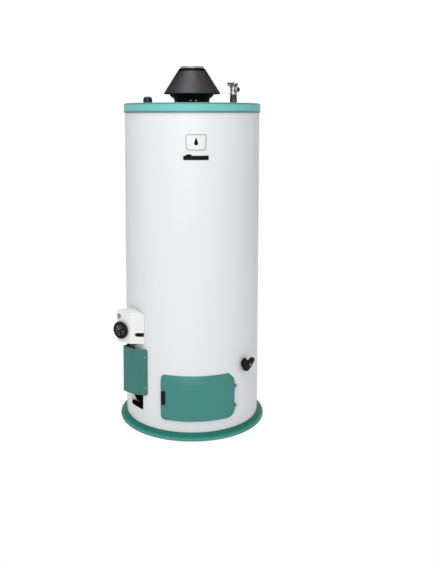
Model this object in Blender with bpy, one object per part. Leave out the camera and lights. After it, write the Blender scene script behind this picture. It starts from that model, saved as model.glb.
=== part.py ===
"""Gas fired tank water heater.

Metres, +Z up.  The origin is on the tank's vertical axis at the floor.
The front of the heater faces -Y.  Angles around the tank are azimuths in
degrees from the front, positive towards +X.
"""
import math

import bmesh
import bpy
from mathutils import Matrix, Vector

# ---------------------------------------------------------------- dimensions
MM = 0.001
GAP = 0.4                      # running gap between pieces that touch

R_JACKET = 230.0               # outer radius of the jacket
T_JACKET = 1.3
Z_JACKET = (20.9, 1087.0)
R_PAN = 233.0                  # top pan, outside its flange
Z_PAN_TOP = 1089.0
Z_PAN_RIM = 1057.0
R_RING = 251.3                 # base ring, outside its rolled edge
R_TANK = 203.0                 # tank shell, outside
R_TANK_IN = 200.0
Z_TANK = (200.3, 1046.0)
R_FLUE = 44.0                  # flue tube, outside
N_TANK = 32                    # facets around the tank, the same on nested pieces
COLD_XY = (-152.0, 0.0)
RELIEF_XY = (141.5, 0.0)
HOT_XY = (31.0, 147.0)
ANODE_XY = (-33.0, 146.5)
Z_TOTAL = 1213.5               # top of the flue collar

AZ_CONTROL = -56.0             # gas control and everything below it
Z_DIAL = 340.0
Z_BUTTON = 384.5
AZ_FACE = -35.0                # way the dial's face of the gas control looks
U_DIAL, V_FACE = -106.0, 254.6  # dial's place along that face, and the face's distance from the axis
U_BUTTON = -118.5
AZ_DRAIN = 48.0
Z_DRAIN = 230.0
DRAIN_TILT = 52.0              # rest tilt of the drain handle from vertical
DOOR_AZ = (-26.0, 36.5)
DOOR_Z = (60.0, 210.0)
DOOR_R_FACE = 238.6            # outside of the access door's face
HINGE_AZ = 37.6
HINGE_R = 234.6
AZ_BADGE = 3.1


# ---------------------------------------------------------------- scene reset
for old in list(bpy.data.objects):
    bpy.data.objects.remove(old, do_unlink=True)

COLORS = {
    "jacket": ((0.86, 0.87, 0.88), 0.28, 0.0),
    "pan": ((0.27, 0.60, 0.56), 0.35, 0.0),
    "green": ((0.06, 0.26, 0.20), 0.40, 0.0),
    "hood": ((0.07, 0.07, 0.075), 0.45, 0.6),
    "cap": ((0.012, 0.012, 0.022), 0.35, 0.0),
    "black": ((0.010, 0.009, 0.010), 0.38, 0.0),
    "steel": ((0.45, 0.45, 0.46), 0.35, 1.0),
    "galv": ((0.52, 0.53, 0.54), 0.45, 1.0),
    "brass": ((0.62, 0.47, 0.22), 0.30, 1.0),
    "bronze": ((0.22, 0.18, 0.16), 0.40, 1.0),
    "alu": ((0.75, 0.76, 0.77), 0.35, 1.0),
    "copper": ((0.72, 0.38, 0.22), 0.35, 1.0),
    "cover": ((0.85, 0.85, 0.85), 0.32, 0.0),
    "grey": ((0.42, 0.42, 0.42), 0.45, 0.0),
    "foam": ((0.80, 0.68, 0.38), 0.90, 0.0),
    "iron": ((0.10, 0.10, 0.10), 0.60, 0.6),
    "enamel": ((0.10, 0.16, 0.30), 0.25, 0.0),
    "plastic": ((0.80, 0.80, 0.76), 0.45, 0.0),
    "glass": ((0.75, 0.80, 0.80), 0.05, 0.0),
    "badge": ((0.74, 0.75, 0.76), 0.30, 0.0),
}


def material(key, name):
    rgb, rough, metal = COLORS[key]
    m = bpy.data.materials.new(name + "_material")
    m.use_nodes = True
    b = m.node_tree.nodes["Principled BSDF"]
    b.inputs["Base Color"].default_value = (*rgb, 1.0)
    b.inputs["Roughness"].default_value = rough
    b.inputs["Metallic"].default_value = metal
    if key == "glass":
        b.inputs["Alpha"].default_value = 0.35
    m.diffuse_color = (*rgb, 1.0)
    return m


def finish(bm, name, key, smooth=True, matrix=None):
    """Turn a closed bmesh, drawn in millimetres, into a named object."""
    bmesh.ops.remove_doubles(bm, verts=bm.verts, dist=1e-4)
    bmesh.ops.recalc_face_normals(bm, faces=bm.faces)
    if bm.calc_volume(signed=True) < 0:
        bmesh.ops.reverse_faces(bm, faces=bm.faces)
    for v in bm.verts:
        v.co *= MM
    me = bpy.data.meshes.new(name)
    bm.to_mesh(me)
    bm.free()
    if smooth:
        me.shade_smooth()
        me.set_sharp_from_angle(angle=math.radians(32))
    ob = bpy.data.objects.new(name, me)
    bpy.context.scene.collection.objects.link(ob)
    if key is not None:
        me.materials.append(material(key, name))
    if matrix is not None:
        ob.matrix_world = matrix
    return ob


def at(x=0.0, y=0.0, z=0.0, az=0.0):
    """Placement: a move in millimetres and a turn about +Z."""
    return Matrix.Translation(Vector((x, y, z)) * MM) @ Matrix.Rotation(math.radians(az), 4, "Z")


def polar(az, r, z=0.0):
    a = math.radians(az)
    return Vector((r * math.sin(a), -r * math.cos(a), z))


# ---------------------------------------------------------------- shape tools
def spun(profile, steps, axis=(0, 0, 1), center=(0, 0, 0), angle=360.0, start=0.0):
    """Spin a closed (r, z) profile about an axis; ends on the axis become poles."""
    bm = bmesh.new()
    loop = profile
    on_axis = abs(loop[0][0]) < 1e-9 and abs(loop[-1][0]) < 1e-9
    vs = [bm.verts.new((r, 0.0, z)) for r, z in loop]
    es = [bm.edges.new((vs[i], vs[i + 1])) for i in range(len(vs) - 1)]
    full = abs(angle - 360.0) < 1e-6
    if full:
        if not on_axis:
            es.append(bm.edges.new((vs[-1], vs[0])))
        bmesh.ops.spin(bm, geom=vs + es, cent=(0, 0, 0), axis=(0, 0, 1),
                       angle=math.radians(360.0), steps=steps, use_merge=True)
    else:
        f = bm.faces.new(vs)
        bmesh.ops.rotate(bm, verts=bm.verts, cent=(0, 0, 0),
                         matrix=Matrix.Rotation(math.radians(start), 3, "Z"))
        # keep one copy of the starting face so that both ends are closed
        ret = bmesh.ops.spin(bm, geom=[f] + list(f.edges) + list(f.verts), cent=(0, 0, 0),
                             axis=(0, 0, 1), angle=math.radians(angle), steps=steps,
                             use_merge=False, use_duplicate=False)
        del ret
    bmesh.ops.remove_doubles(bm, verts=bm.verts, dist=1e-4)
    a = Vector(axis)
    if (a - Vector((0, 0, 1))).length > 1e-9:
        q = Vector((0, 0, 1)).rotation_difference(a)
        bmesh.ops.rotate(bm, verts=bm.verts, cent=(0, 0, 0), matrix=q.to_matrix())
    bmesh.ops.translate(bm, verts=bm.verts, vec=Vector(center))
    return bm


def prism(poly, depth, axis="Z", start=0.0):
    """Extrude a closed polygon.  axis Z: poly is (x, y); axis Y: poly is (x, z);
    axis X: poly is (y, z).  It starts at `start` and runs `depth` along the axis."""
    bm = bmesh.new()
    if axis == "Z":
        pts, d = [(p[0], p[1], start) for p in poly], (0, 0, depth)
    elif axis == "Y":
        pts, d = [(p[0], start, p[1]) for p in poly], (0, depth, 0)
    else:
        pts, d = [(start, p[0], p[1]) for p in poly], (depth, 0, 0)
    f = bm.faces.new([bm.verts.new(p) for p in pts])
    ext = bmesh.ops.extrude_face_region(bm, geom=[f])
    bmesh.ops.translate(bm, verts=[g for g in ext["geom"] if isinstance(g, bmesh.types.BMVert)], vec=d)
    return bm


def arc(cx, cy, r, a0, a1, n):
    return [(cx + r * math.cos(math.radians(a0 + (a1 - a0) * i / n)),
             cy + r * math.sin(math.radians(a0 + (a1 - a0) * i / n))) for i in range(n + 1)]


def rounded(points, radii, n=4):
    """Closed polygon with each corner rounded to its own radius."""
    out = []
    m = len(points)
    for i in range(m):
        p = Vector(points[i]).to_2d()
        a = Vector(points[i - 1]).to_2d()
        b = Vector(points[(i + 1) % m]).to_2d()
        r = radii[i] if isinstance(radii, (list, tuple)) else radii
        if r <= 0:
            out.append((p.x, p.y))
            continue
        u, v = (a - p).normalized(), (b - p).normalized()
        half = 0.5 * math.acos(max(-1.0, min(1.0, u.dot(v))))
        t = r / math.tan(half)
        c = p + (u + v).normalized() * (r / math.sin(half))
        s, e = p + u * t - c, p + v * t - c
        a0, a1 = math.atan2(s.y, s.x), math.atan2(e.y, e.x)
        d = (a1 - a0 + math.pi) % (2 * math.pi) - math.pi
        for k in range(n + 1):
            an = a0 + d * k / n
            out.append((c.x + r * math.cos(an), c.y + r * math.sin(an)))
    return out


def strip(path, t):
    """Closed outline of a sheet of thickness t that follows an open path (t to its left)."""
    p = [Vector(q) for q in path]
    off = []
    for i, q in enumerate(p):
        d0 = (q - p[i - 1]).normalized() if i else None
        d1 = (p[i + 1] - q).normalized() if i < len(p) - 1 else None
        n0 = Vector((-d0.y, d0.x)) if d0 else None
        n1 = Vector((-d1.y, d1.x)) if d1 else None
        if n0 is None:
            off.append(q + n1 * t)
        elif n1 is None:
            off.append(q + n0 * t)
        else:
            b = (n0 + n1).normalized()
            off.append(q + b * (t / max(0.35, b.dot(n1))))
    return [(q.x, q.y) for q in p] + [(q.x, q.y) for q in reversed(off)]


def smooth_path(points, per=4):
    """Catmull-Rom points through the given ones."""
    p = [Vector(q) for q in points]
    p = [p[0] * 2 - p[1]] + p + [p[-1] * 2 - p[-2]]
    out = []
    for i in range(1, len(p) - 2):
        for k in range(per):
            t = k / per
            out.append(0.5 * ((2 * p[i]) + (p[i + 1] - p[i - 1]) * t
                              + (2 * p[i - 1] - 5 * p[i] + 4 * p[i + 1] - p[i + 2]) * t * t
                              + (3 * p[i] - p[i - 1] - 3 * p[i + 1] + p[i + 2]) * t * t * t))
    out.append(p[-2])
    return out


def tube(name, points, radius, key, matrix=None, res=2):
    """A round bar or tube along a smooth path, as a curve with filled caps."""
    cu = bpy.data.curves.new(name, "CURVE")
    cu.dimensions = "3D"
    sp = cu.splines.new("POLY")
    sp.points.add(len(points) - 1)
    for i, q in enumerate(points):
        sp.points[i].co = (q.x * MM, q.y * MM, q.z * MM, 1.0)
    cu.bevel_depth = radius * MM
    cu.bevel_resolution = res
    cu.use_fill_caps = True
    cu.materials.append(material(key, name))
    ob = bpy.data.objects.new(name, cu)
    bpy.context.scene.collection.objects.link(ob)
    if matrix is not None:
        ob.matrix_world = matrix
    return ob


def cutter(ob):
    ob.hide_render = True
    ob.display_type = "WIRE"
    return ob


def cut(ob, tool, op="DIFFERENCE"):
    m = ob.modifiers.new(op.lower(), "BOOLEAN")
    m.operation = op
    m.solver = "EXACT"
    m.object = cutter(tool)
    return m


def bar(name, r, p0, p1, steps=16):
    """A round cutter between two points."""
    a, b = Vector(p0), Vector(p1)
    d = b - a
    bm = spun([(0, 0), (r, 0), (r, d.length), (0, d.length)], steps, axis=d.normalized(), center=a)
    return finish(bm, name, None)


def wedge(name, az0, az1, r0, r1, z0, z1, n=6, corner=0.0):
    """A cutter that follows the tank: a block between two azimuths and radii."""
    bm = bmesh.new()
    s0, s1 = az0, az1
    outline = rounded([(s0, z0), (s1, z0), (s1, z1), (s0, z1)], corner, 3) if corner else \
        [(s0, z0), (s1, z0), (s1, z1), (s0, z1)]
    f = bm.faces.new([bm.verts.new((x, 0.0, z)) for x, z in outline])
    ext = bmesh.ops.extrude_face_region(bm, geom=[f])
    bmesh.ops.translate(bm, verts=[g for g in ext["geom"] if isinstance(g, bmesh.types.BMVert)], vec=(0, 1, 0))
    for k in range(1, n):
        x = s0 + (s1 - s0) * k / n + 0.013
        bmesh.ops.bisect_plane(bm, geom=bm.verts[:] + bm.edges[:] + bm.faces[:],
                               plane_co=(x, 0, 0), plane_no=(1, 0, 0))
    for v in bm.verts:
        v.co = polar(v.co.x, r0 if v.co.y < 0.5 else r1, v.co.z)
    return finish(bm, name, None)


# ================================================================ base
base_pan = finish(spun([(0, 0), (221.2, 0), (222.4, 1.2), (222.4, 19.2), (220.8, 19.2),
                        (220.8, 2.0), (0, 2.0)], 40), "base_pan", "galv")

base_ring = finish(spun([
    (223.4, 18.9), (229.6, 18.9), (234.0, 12.6), (243.2, 6.4), (246.0, 0.0),
    (249.6, 0.2), (R_RING, 3.6), (R_RING - 0.6, 7.4), (248.2, 9.5), (243.0, 10.6),
    (236.0, 15.6), (231.4, 22.2), (230.4, 20.5), (223.4, 20.5)], 48), "base_ring", "green")

# ================================================================ jacket
outer_jacket = finish(spun([(R_JACKET - T_JACKET, Z_JACKET[0]), (R_JACKET, Z_JACKET[0]),
                            (R_JACKET, Z_JACKET[1]), (R_JACKET - T_JACKET, Z_JACKET[1])], 64),
                      "outer_jacket", "jacket")
cut(outer_jacket, wedge("cut_door_opening", -20.0, 30.0, 215, 245, 68, 202, n=5))
cut(outer_jacket, wedge("cut_tube_window", -63.0, -45.0, 215, 245, 70, 128, n=3))
cut(outer_jacket, bar("cut_jacket_probe", 15.0, polar(AZ_CONTROL, 205, Z_DIAL), polar(AZ_CONTROL, 250, Z_DIAL)))
cut(outer_jacket, bar("cut_jacket_drain", 13.0, polar(AZ_DRAIN, 205, Z_DRAIN), polar(AZ_DRAIN, 250, Z_DRAIN)))

top_pan = finish(spun([
    (47.0, Z_PAN_TOP - 1.5), (231.6, Z_PAN_TOP - 1.5), (231.6, Z_PAN_RIM),
    (R_PAN, Z_PAN_RIM), (R_PAN, Z_PAN_TOP - 3.0), (232.1, Z_PAN_TOP - 0.9), (230.0, Z_PAN_TOP),
    (47.0, Z_PAN_TOP)], 48), "top_pan", "pan")
for tag, (px, py), rr in (("cold", COLD_XY, 14.6), ("hot", HOT_XY, 14.6), ("anode", ANODE_XY, 14.0),
                          ("relief", RELIEF_XY, 13.6)):
    cut(top_pan, bar("cut_pan_" + tag, rr, (px, py, Z_PAN_TOP - 12), (px, py, Z_PAN_TOP + 12)))

# ================================================================ tank
insulation = finish(spun([(R_TANK + GAP, 212.0), (R_JACKET - T_JACKET - 0.6, 212.0),
                          (R_JACKET - T_JACKET - 0.6, 1085.5), (R_TANK + GAP, 1085.5)], N_TANK),
                    "insulation", "foam")
cut(insulation, bar("cut_foam_probe", 14.0, polar(AZ_CONTROL, 190, Z_DIAL), polar(AZ_CONTROL, 250, Z_DIAL)))
cut(insulation, bar("cut_foam_drain", 12.6, polar(AZ_DRAIN, 190, Z_DRAIN), polar(AZ_DRAIN, 250, Z_DRAIN)))

tank_shell = finish(spun([(R_TANK_IN, Z_TANK[0]), (R_TANK, Z_TANK[0]), (R_TANK, Z_TANK[1]),
                          (R_TANK_IN, Z_TANK[1])], N_TANK), "tank_shell", "enamel")
cut(tank_shell, bar("cut_tank_probe", 11.0, polar(AZ_CONTROL, 180, Z_DIAL), polar(AZ_CONTROL, 225, Z_DIAL)))
cut(tank_shell, bar("cut_tank_drain", 11.0, polar(AZ_DRAIN, 180, Z_DRAIN), polar(AZ_DRAIN, 225, Z_DRAIN)))


def head(name, z_edge, z_flange, crown, hole):
    """A dished tank head with a flange that fits inside the shell."""
    ro, t = R_TANK_IN - GAP, 3.0
    outer = [(ro, z_flange)]
    for a in (0.0, 35.0, 72.0):
        outer.append((ro - 14 + 14 * math.cos(math.radians(a)), z_edge + 12 * math.sin(math.radians(a))))
    for r in (125.0,):
        outer.append((r, z_edge + 12 + (crown - 12) * (1 - (r / 190.0) ** 2)))
    outer.append((hole, z_edge + 12 + (crown - 12) * (1 - (hole / 190.0) ** 2)))
    body = strip(outer, t)
    return finish(spun(body, N_TANK), name, "enamel")


tank_bottom_head = head("tank_bottom_head", 208.0, 201.0, 38.0, R_FLUE + 1.6)
tank_top_head = head("tank_top_head", 1032.0, 1006.0, 34.0, R_FLUE + 1.6)
for tag, (px, py), rr in (("cold", COLD_XY, 13.7), ("hot", HOT_XY, 13.7), ("anode", ANODE_XY, 13.4),
                          ("relief", RELIEF_XY, 12.8)):
    cut(tank_top_head, bar("cut_head_" + tag, rr, (px, py, 1000), (px, py, 1075)))

combustion_chamber = finish(spun([(R_TANK - 1.5, 2.5), (R_TANK, 2.5), (R_TANK, 199.9),
                                  (R_TANK - 1.5, 199.9)], N_TANK), "combustion_chamber", "iron")
cut(combustion_chamber, wedge("cut_chamber_door", -16.0, 26.0, 185, 215, 62, 190, n=4))
cut(combustion_chamber, wedge("cut_chamber_tubes", -63.0, -45.0, 185, 215, 58, 122, n=3))

flue_tube = finish(spun([(R_FLUE - 2.5, 236.0), (R_FLUE, 236.0), (R_FLUE, 1097.0), (R_FLUE - 2.5, 1097.0)], 24),
                   "flue_tube", "galv")


def folded_baffle(half_x, half_y, t, z0, z1, folds):
    """A strip folded into a zigzag that hangs in the flue."""
    path = [(half_x * (-1) ** i * (0.0 if i in (0, folds) else 1.0), z0 + (z1 - z0) * i / folds)
            for i in range(folds + 1)]
    return prism(strip(path, t), 2 * half_y, "Y", start=-half_y)


flue_baffle = finish(folded_baffle(27.0, 25.0, 1.4, 300.0, 1090.0, 18), "flue_baffle", "galv", smooth=False)

anode_rod = finish(spun([(0, 520), (9.0, 520), (10.0, 523), (10.0, 1028), (13.0, 1030), (13.0, 1090.0),
                         (14.8, 1090.0), (14.8, 1099.0), (13.2, 1100.6), (0, 1100.6)], 12),
                   "anode_rod", "galv", matrix=at(*ANODE_XY))


def nipple(name, xy, z0, z1, ro, ri, key, steps=18):
    c = 1.0
    return finish(spun([(ri, z0), (ro - c, z0), (ro, z0 + c), (ro, z1 - c), (ro - c, z1), (ri, z1)], steps),
                  name, key, matrix=at(*xy))


cold_inlet_nipple = nipple("cold_inlet_nipple", COLD_XY, 1026, 1107, 13.2, 10.6, "steel")
hot_outlet_nipple = nipple("hot_outlet_nipple", HOT_XY, 1026, 1107, 13.2, 10.6, "steel")
relief_nipple = nipple("relief_nipple", RELIEF_XY, 1026, 1118.2, 12.3, 9.2, "bronze")

dip_tube = finish(spun([(7.0, 420.0), (8.6, 420.0), (8.6, 1103.0), (9.9, 1104.2), (9.9, 1105.6), (7.0, 1105.6)], 16),
                  "dip_tube", "plastic", matrix=at(*COLD_XY))


def pipe_cap(name, xy):
    """A domed push-on cap with an open underside and a small rolled lip."""
    return finish(spun([(0, 1109.5), (12.6, 1109.5), (13.6, 1108.2), (13.6, 1089.4), (15.4, 1089.4),
                        (15.6, 1091.0), (15.5, 1104.0), (15.0, 1107.6), (13.2, 1110.4), (9.6, 1111.8),
                        (0, 1112.3)], 20), name, "cap", matrix=at(*xy))


cold_inlet_cap = pipe_cap("cold_inlet_cap", COLD_XY)
hot_outlet_cap = pipe_cap("hot_outlet_cap", HOT_XY)

# ================================================================ draft hood
Z0 = Z_PAN_TOP
neck_line = [(50.0, Z0 + 0.4), (59.4, Z0 + 0.4), (59.6, Z0 + 12.0), (60.8, Z0 + 16.4),
             (64.4, Z0 + 20.4), (70.6, Z0 + 24.6), (74.2, Z0 + 30.2), (76.6, Z0 + 38.0)]
draft_hood_neck = finish(spun(strip(neck_line, 1.2), 32), "draft_hood_neck", "hood")

cone_line = [(95.0, Z0 + 32.0), (96.5, Z0 + 33.2), (96.4, Z0 + 35.2), (94.6, Z0 + 37.6),
             (47.2, Z0 + 112.6), (45.4, Z0 + 115.4), (43.4, Z0 + 117.2), (41.0, Z0 + 117.8)]
draft_hood_cone = finish(spun(strip(cone_line, 1.3), 36), "draft_hood_cone", "hood")

flue_collar = finish(spun([(38.6, Z0 + 104.0), (43.6, Z0 + 104.0), (43.6, Z0 + 105.2), (40.2, Z0 + 105.6),
                           (40.2, Z_TOTAL), (38.6, Z_TOTAL)], 32), "flue_collar", "hood")

leg_line = [(61.3, Z0 + 5.0), (61.3, Z0 + 11.8), (62.4, Z0 + 15.2), (66.2, Z0 + 19.4), (73.0, Z0 + 23.8),
            (76.4, Z0 + 29.0), (83.0, Z0 + 49.4)]
for i, az in enumerate((4.0, 124.0, 244.0)):
    # the azimuth is measured from the front; the profile starts at +X, which is azimuth 90
    bm = spun(strip(list(reversed(leg_line)), 1.5), 4, angle=30.0, start=az - 90.0 - 15.0)
    finish(bm, "draft_hood_leg_%d" % (i + 1), "hood")

# ================================================================ relief valve
rx, ry = RELIEF_XY
relief_core = spun([(0, 1124.6), (7.6, 1124.6), (7.6, 1118.6), (12.0, 1118.6), (12.6, 1119.4), (12.6, 1124.4),
                    (10.4, 1126.4), (10.4, 1130.0), (11.4, 1132.0), (11.4, 1141.0), (12.8, 1143.0), (12.8, 1145.6),
                    (12.0, 1146.8), (0, 1146.8)], 16)
relief_valve_body = finish(relief_core, "relief_valve_body", "brass", matrix=at(rx, ry))
OUT_AZ = 45.0                       # the outlet looks right and forwards
out_dir = Vector((math.cos(math.radians(-OUT_AZ)), math.sin(math.radians(-OUT_AZ)), 0))
Z_OUT = 1135.8
port = finish(spun([(0, 3.3), (8.3, 3.3), (8.3, 14.0), (9.3, 15.0), (9.3, 22.0), (0, 22.0)], 14,
                   axis=out_dir, center=(rx, ry, Z_OUT)), "add_relief_outlet", None)
cut(relief_valve_body, port, "UNION")
cut(relief_valve_body, bar("cut_relief_outlet", 6.4, Vector((rx, ry, Z_OUT)) + out_dir * 2.1,
                           Vector((rx, ry, Z_OUT)) + out_dir * 40.0, 14))

relief_valve_bonnet = finish(spun([(0, 1147.2), (13.0, 1147.2), (15.4, 1149.0), (15.4, 1152.4), (13.8, 1153.6),
                                   (5.2, 1154.4), (4.0, 1155.0), (2.6, 1156.0), (2.4, 1162.0), (1.6, 1162.8),
                                   (0, 1162.8)], 16), "relief_valve_bonnet", "grey", matrix=at(rx, ry))
# lift lever: a forked strap that straddles the stem and turns about a cross axis through it;
# its free end is turned down past the bonnet as a finger tab
Z_LEVER = 1158.2
lev = prism(rounded([(-20.0, -4.6), (1.6, -5.4), (1.6, -3.1), (-7.2, -3.1), (-7.2, 3.1), (1.6, 3.1),
                     (1.6, 5.4), (-20.0, 4.6)], [2.5, 0, 0, 2.0, 2.0, 0, 0, 2.5], 3),
            3.2, "Z", start=-1.6)
M_LEVER = at(rx, ry, Z_LEVER)
relief_valve_lever = finish(lev, "relief_valve_lever", "steel", matrix=M_LEVER)
tab = finish(prism([(-19.4, 0.4), (-19.4, -8.6), (-18.6, -9.6), (-17.4, -9.6), (-16.8, -8.6), (-16.8, 0.4)],
                   8.0, "Y", start=-4.0), "add_lever_tab", None, matrix=M_LEVER)
cut(relief_valve_lever, tab, "UNION")

# ================================================================ gas control
M_CTRL = at(az=AZ_CONTROL)
W = 60.0                            # half width of the vault
Z_BOT, Z_SPRING, Z_APEX = 298.0, 380.5, 405.5
# The housing's plan is skew: one wall runs straight back from the corner nearest the
# front, and the face that carries the dial looks out to the side.
PLAN = [(52.5, -222.5), (25.4, -262.7), (-30.2, -284.4), (-54.0, -222.0)]


def vault(w, zb, zs, za, n=14):
    top = [(w * math.cos(math.pi * i / n), zs + (za - zs) * math.sin(math.pi * i / n)) for i in range(n + 1)]
    return [(-w, zb), (w, zb)] + top


def inset_plan(d):
    """The plan's three outer walls moved inwards by d, its back run on into the tank."""
    p = [Vector(q) for q in PLAN]
    walls = []
    for a, b in zip(p, p[1:]):
        u = (b - a).normalized()
        walls.append((a + Vector((u.y, -u.x)) * d, u, (b - a).length))

    def meet(f, g):
        (a, u, _), (b, v, _) = f, g
        return a + u * (((b.x - a.x) * v.y - (b.y - a.y) * v.x) / (u.x * v.y - u.y * v.x))

    first = walls[0][0] - walls[0][1] * 22.0
    last = walls[2][0] + walls[2][1] * (walls[2][2] + 22.0)
    pts = [first, meet(walls[0], walls[1]), meet(walls[1], walls[2]), last]
    return [(q.x, q.y) for q in pts]


def keep(ob, tool):
    """Keep only what lies inside the tool."""
    md = ob.modifiers.new("keep", "BOOLEAN")
    md.operation = "INTERSECT"
    md.solver = "EXACT"
    md.object = tool
    tool.hide_render = True
    tool.display_type = "WIRE"


gas_control_cover = finish(prism(vault(W, Z_BOT, Z_SPRING, Z_APEX), 110.0, "Y", start=-305.0),
                           "gas_control_cover", "cover", matrix=M_CTRL)
pts = inset_plan(0.0)
keep(gas_control_cover, finish(prism(rounded(pts, [0, 5.0, 5.0, 0], 4), 130.0, "Z", start=290.0),
                               "cut_cover_plan", None, matrix=M_CTRL))
inner = finish(prism(vault(W - 2.2, Z_BOT + 2.2, Z_SPRING - 0.6, Z_APEX - 2.2), 114.0, "Y", start=-307.0),
               "cut_cover_inside", None, matrix=M_CTRL)
keep(inner, finish(prism(rounded(inset_plan(2.3), [0, 3.0, 3.0, 0], 3), 134.0, "Z", start=288.0),
                   "cut_cover_room", None, matrix=M_CTRL))
cut(gas_control_cover, inner)
cut(gas_control_cover, finish(spun([(0, 250), (R_JACKET + 0.45, 250), (R_JACKET + 0.45, 450), (0, 450)], 120),
                              "cut_cover_back", None))
cut(gas_control_cover, finish(prism([(31.5, 321.2), (70.0, 321.2), (70.0, 334.4), (31.5, 334.4)], 60.0, "Y",
                                    start=-262.0), "cut_cover_slot", None, matrix=M_CTRL))
cut(gas_control_cover, finish(prism([(-27.0, -260.0), (15.0, -260.0), (15.0, -215.0), (-27.0, -215.0)], 20.0,
                                    "Z", start=Z_BOT - 10.0), "cut_cover_bottom", None, matrix=M_CTRL))


def local(p):
    return Matrix.Rotation(math.radians(AZ_CONTROL), 3, "Z") @ Vector(p)


def face(u, v, z):
    """A point given by its place along the dial's face, its distance out and its height."""
    return Matrix.Rotation(math.radians(AZ_FACE), 3, "Z") @ Vector((u, -v, z))


cut(gas_control_cover, bar("cut_cover_shaft", 7.0, face(U_DIAL, 247, Z_DIAL), face(U_DIAL, 270, Z_DIAL)))
cut(gas_control_cover, bar("cut_cover_button", 6.2, face(U_BUTTON, 247, Z_BUTTON), face(U_BUTTON, 270, Z_BUTTON)))

body = prism(rounded([(-33, 306), (24, 306), (24, 372), (-33, 372)], 5.0, 2), 20.0, "Y", start=-257.0)
gas_valve_body = finish(body, "gas_valve_body", "alu", matrix=M_CTRL)
cut(gas_valve_body, bar("cut_valve_shank", 8.4, local((0, -244, Z_DIAL)), local((0, -220, Z_DIAL)), 20))
cut(gas_valve_body, bar("cut_valve_stem", 6.2, face(U_DIAL, 228, Z_DIAL), face(U_DIAL, 262, Z_DIAL), 20))
cut(gas_valve_body, bar("cut_valve_port", 4.6, local((18, -243.5, 327.8)), local((50, -243.5, 327.8)), 16))

gas_inlet_port = finish(spun([(3.9, 24.4), (6.2, 24.4), (6.2, 29.4), (5.8, 30.0),
                              (3.9, 30.0)], 6, axis=(1, 0, 0), center=(0, -243.5, 327.8)),
                        "gas_inlet_port", "brass", smooth=False, matrix=M_CTRL)

thermostat_probe = finish(spun([(0, 88), (6.0, 88), (6.6, 91), (6.6, 196), (9.8, 198), (9.8, 236.6), (8.0, 236.6),
                                (8.0, 243.4), (0, 243.4)], 14, axis=(0, -1, 0), center=(0, 0, Z_DIAL)),
                          "thermostat_probe", "copper", matrix=M_CTRL)

M_DIAL = at(*face(U_DIAL, V_FACE + 0.6, Z_DIAL), az=AZ_FACE)
dial_prof = [(0, 6.0), (5.0, 6.0), (5.0, 0.0), (25.6, 0.0), (27.0, 1.2), (28.8, 6.2), (29.0, 8.6), (28.0, 10.6), (25.6, 12.0),
             (0, 12.6)]
temperature_dial = finish(spun(dial_prof, 30, axis=(0, -1, 0)), "temperature_dial", "black", matrix=M_DIAL)
dial_shaft = finish(spun([(0, -20.0), (4.4, -20.0), (4.4, 5.6), (0, 5.6)], 16, axis=(0, -1, 0)),
                    "dial_shaft", "steel", matrix=M_DIAL)

M_BUTTON = at(*face(U_BUTTON, V_FACE, Z_BUTTON), az=AZ_FACE)
pilot_button = finish(spun([(0, -9.0), (5.6, -9.0), (5.6, 3.2), (4.6, 4.2), (0, 4.6)], 20, axis=(0, -1, 0)),
                      "pilot_button", "grey", matrix=M_BUTTON)

# ================================================================ burner tube cover
T_COVER = 1.3
line = [(-31.6, -229.4), (-21.4, -262.4), (-19.6, -265.2), (-16.0, -265.6), (27.4, -253.4), (31.4, -251.2),
        (66.0, -222.4)]
chan = prism(strip(line, T_COVER), 155.0, "Z", start=125.0)
burner_tube_cover = finish(chan, "burner_tube_cover", "green", smooth=False, matrix=M_CTRL)

# ================================================================ gas tubes


def gas_tube(name, x, r, key, end):
    pts = [(x, -249.0, 305.6 - 0.3), (x, -247.0, 292.0), (x, -241.5, 270.0), (x, -240.5, 200.0), (x, -239.5, 140.0),
           (x, -236.0, 112.0), (x * 0.98, -222.0, 88.0), (x * 0.95, -196.0, 78.0)] + end
    return tube(name, smooth_path(pts, 2), r, key, matrix=M_CTRL, res=2)


burner_tube = gas_tube("burner_tube", -16.0, 5.6, "alu",
                       [(-13.0, -140.0, 70.0), (-7.0, -70.0, 58.0), (-1.5, -20.0, 44.0), (0.0, 0.0, 40.0)])
pilot_tube = gas_tube("pilot_tube", -4.0, 2.6, "alu",
                      [(-4.0, -150.0, 80.0), (-4.0, -118.0, 80.0)])
thermocouple_lead = gas_tube("thermocouple_lead", 5.0, 2.2, "copper",
                             [(6.0, -150.0, 80.0), (7.0, -118.0, 80.0)])

pilot_burner = finish(prism(rounded([(-10, -117.4), (13, -117.4), (13, -104), (-10, -104)], 2.0, 2), 24.0, "Z",
                            start=74.0), "pilot_burner", "steel", matrix=M_CTRL)

burner_head = finish(spun([(0, 88.4), (60.0, 87.0), (73.0, 84.6), (75.6, 81.2), (73.6, 78.6), (23.0, 72.4),
                           (8.4, 66.0), (8.0, 56.0), (16.6, 52.0), (18.2, 53.2), (10.2, 57.4), (10.8, 64.4),
                           (24.0, 70.2), (75.0, 76.6), (78.0, 81.2), (75.0, 86.4), (61.0, 88.8), (0, 90.4)], 16),
                     "burner_head", "iron")

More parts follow.
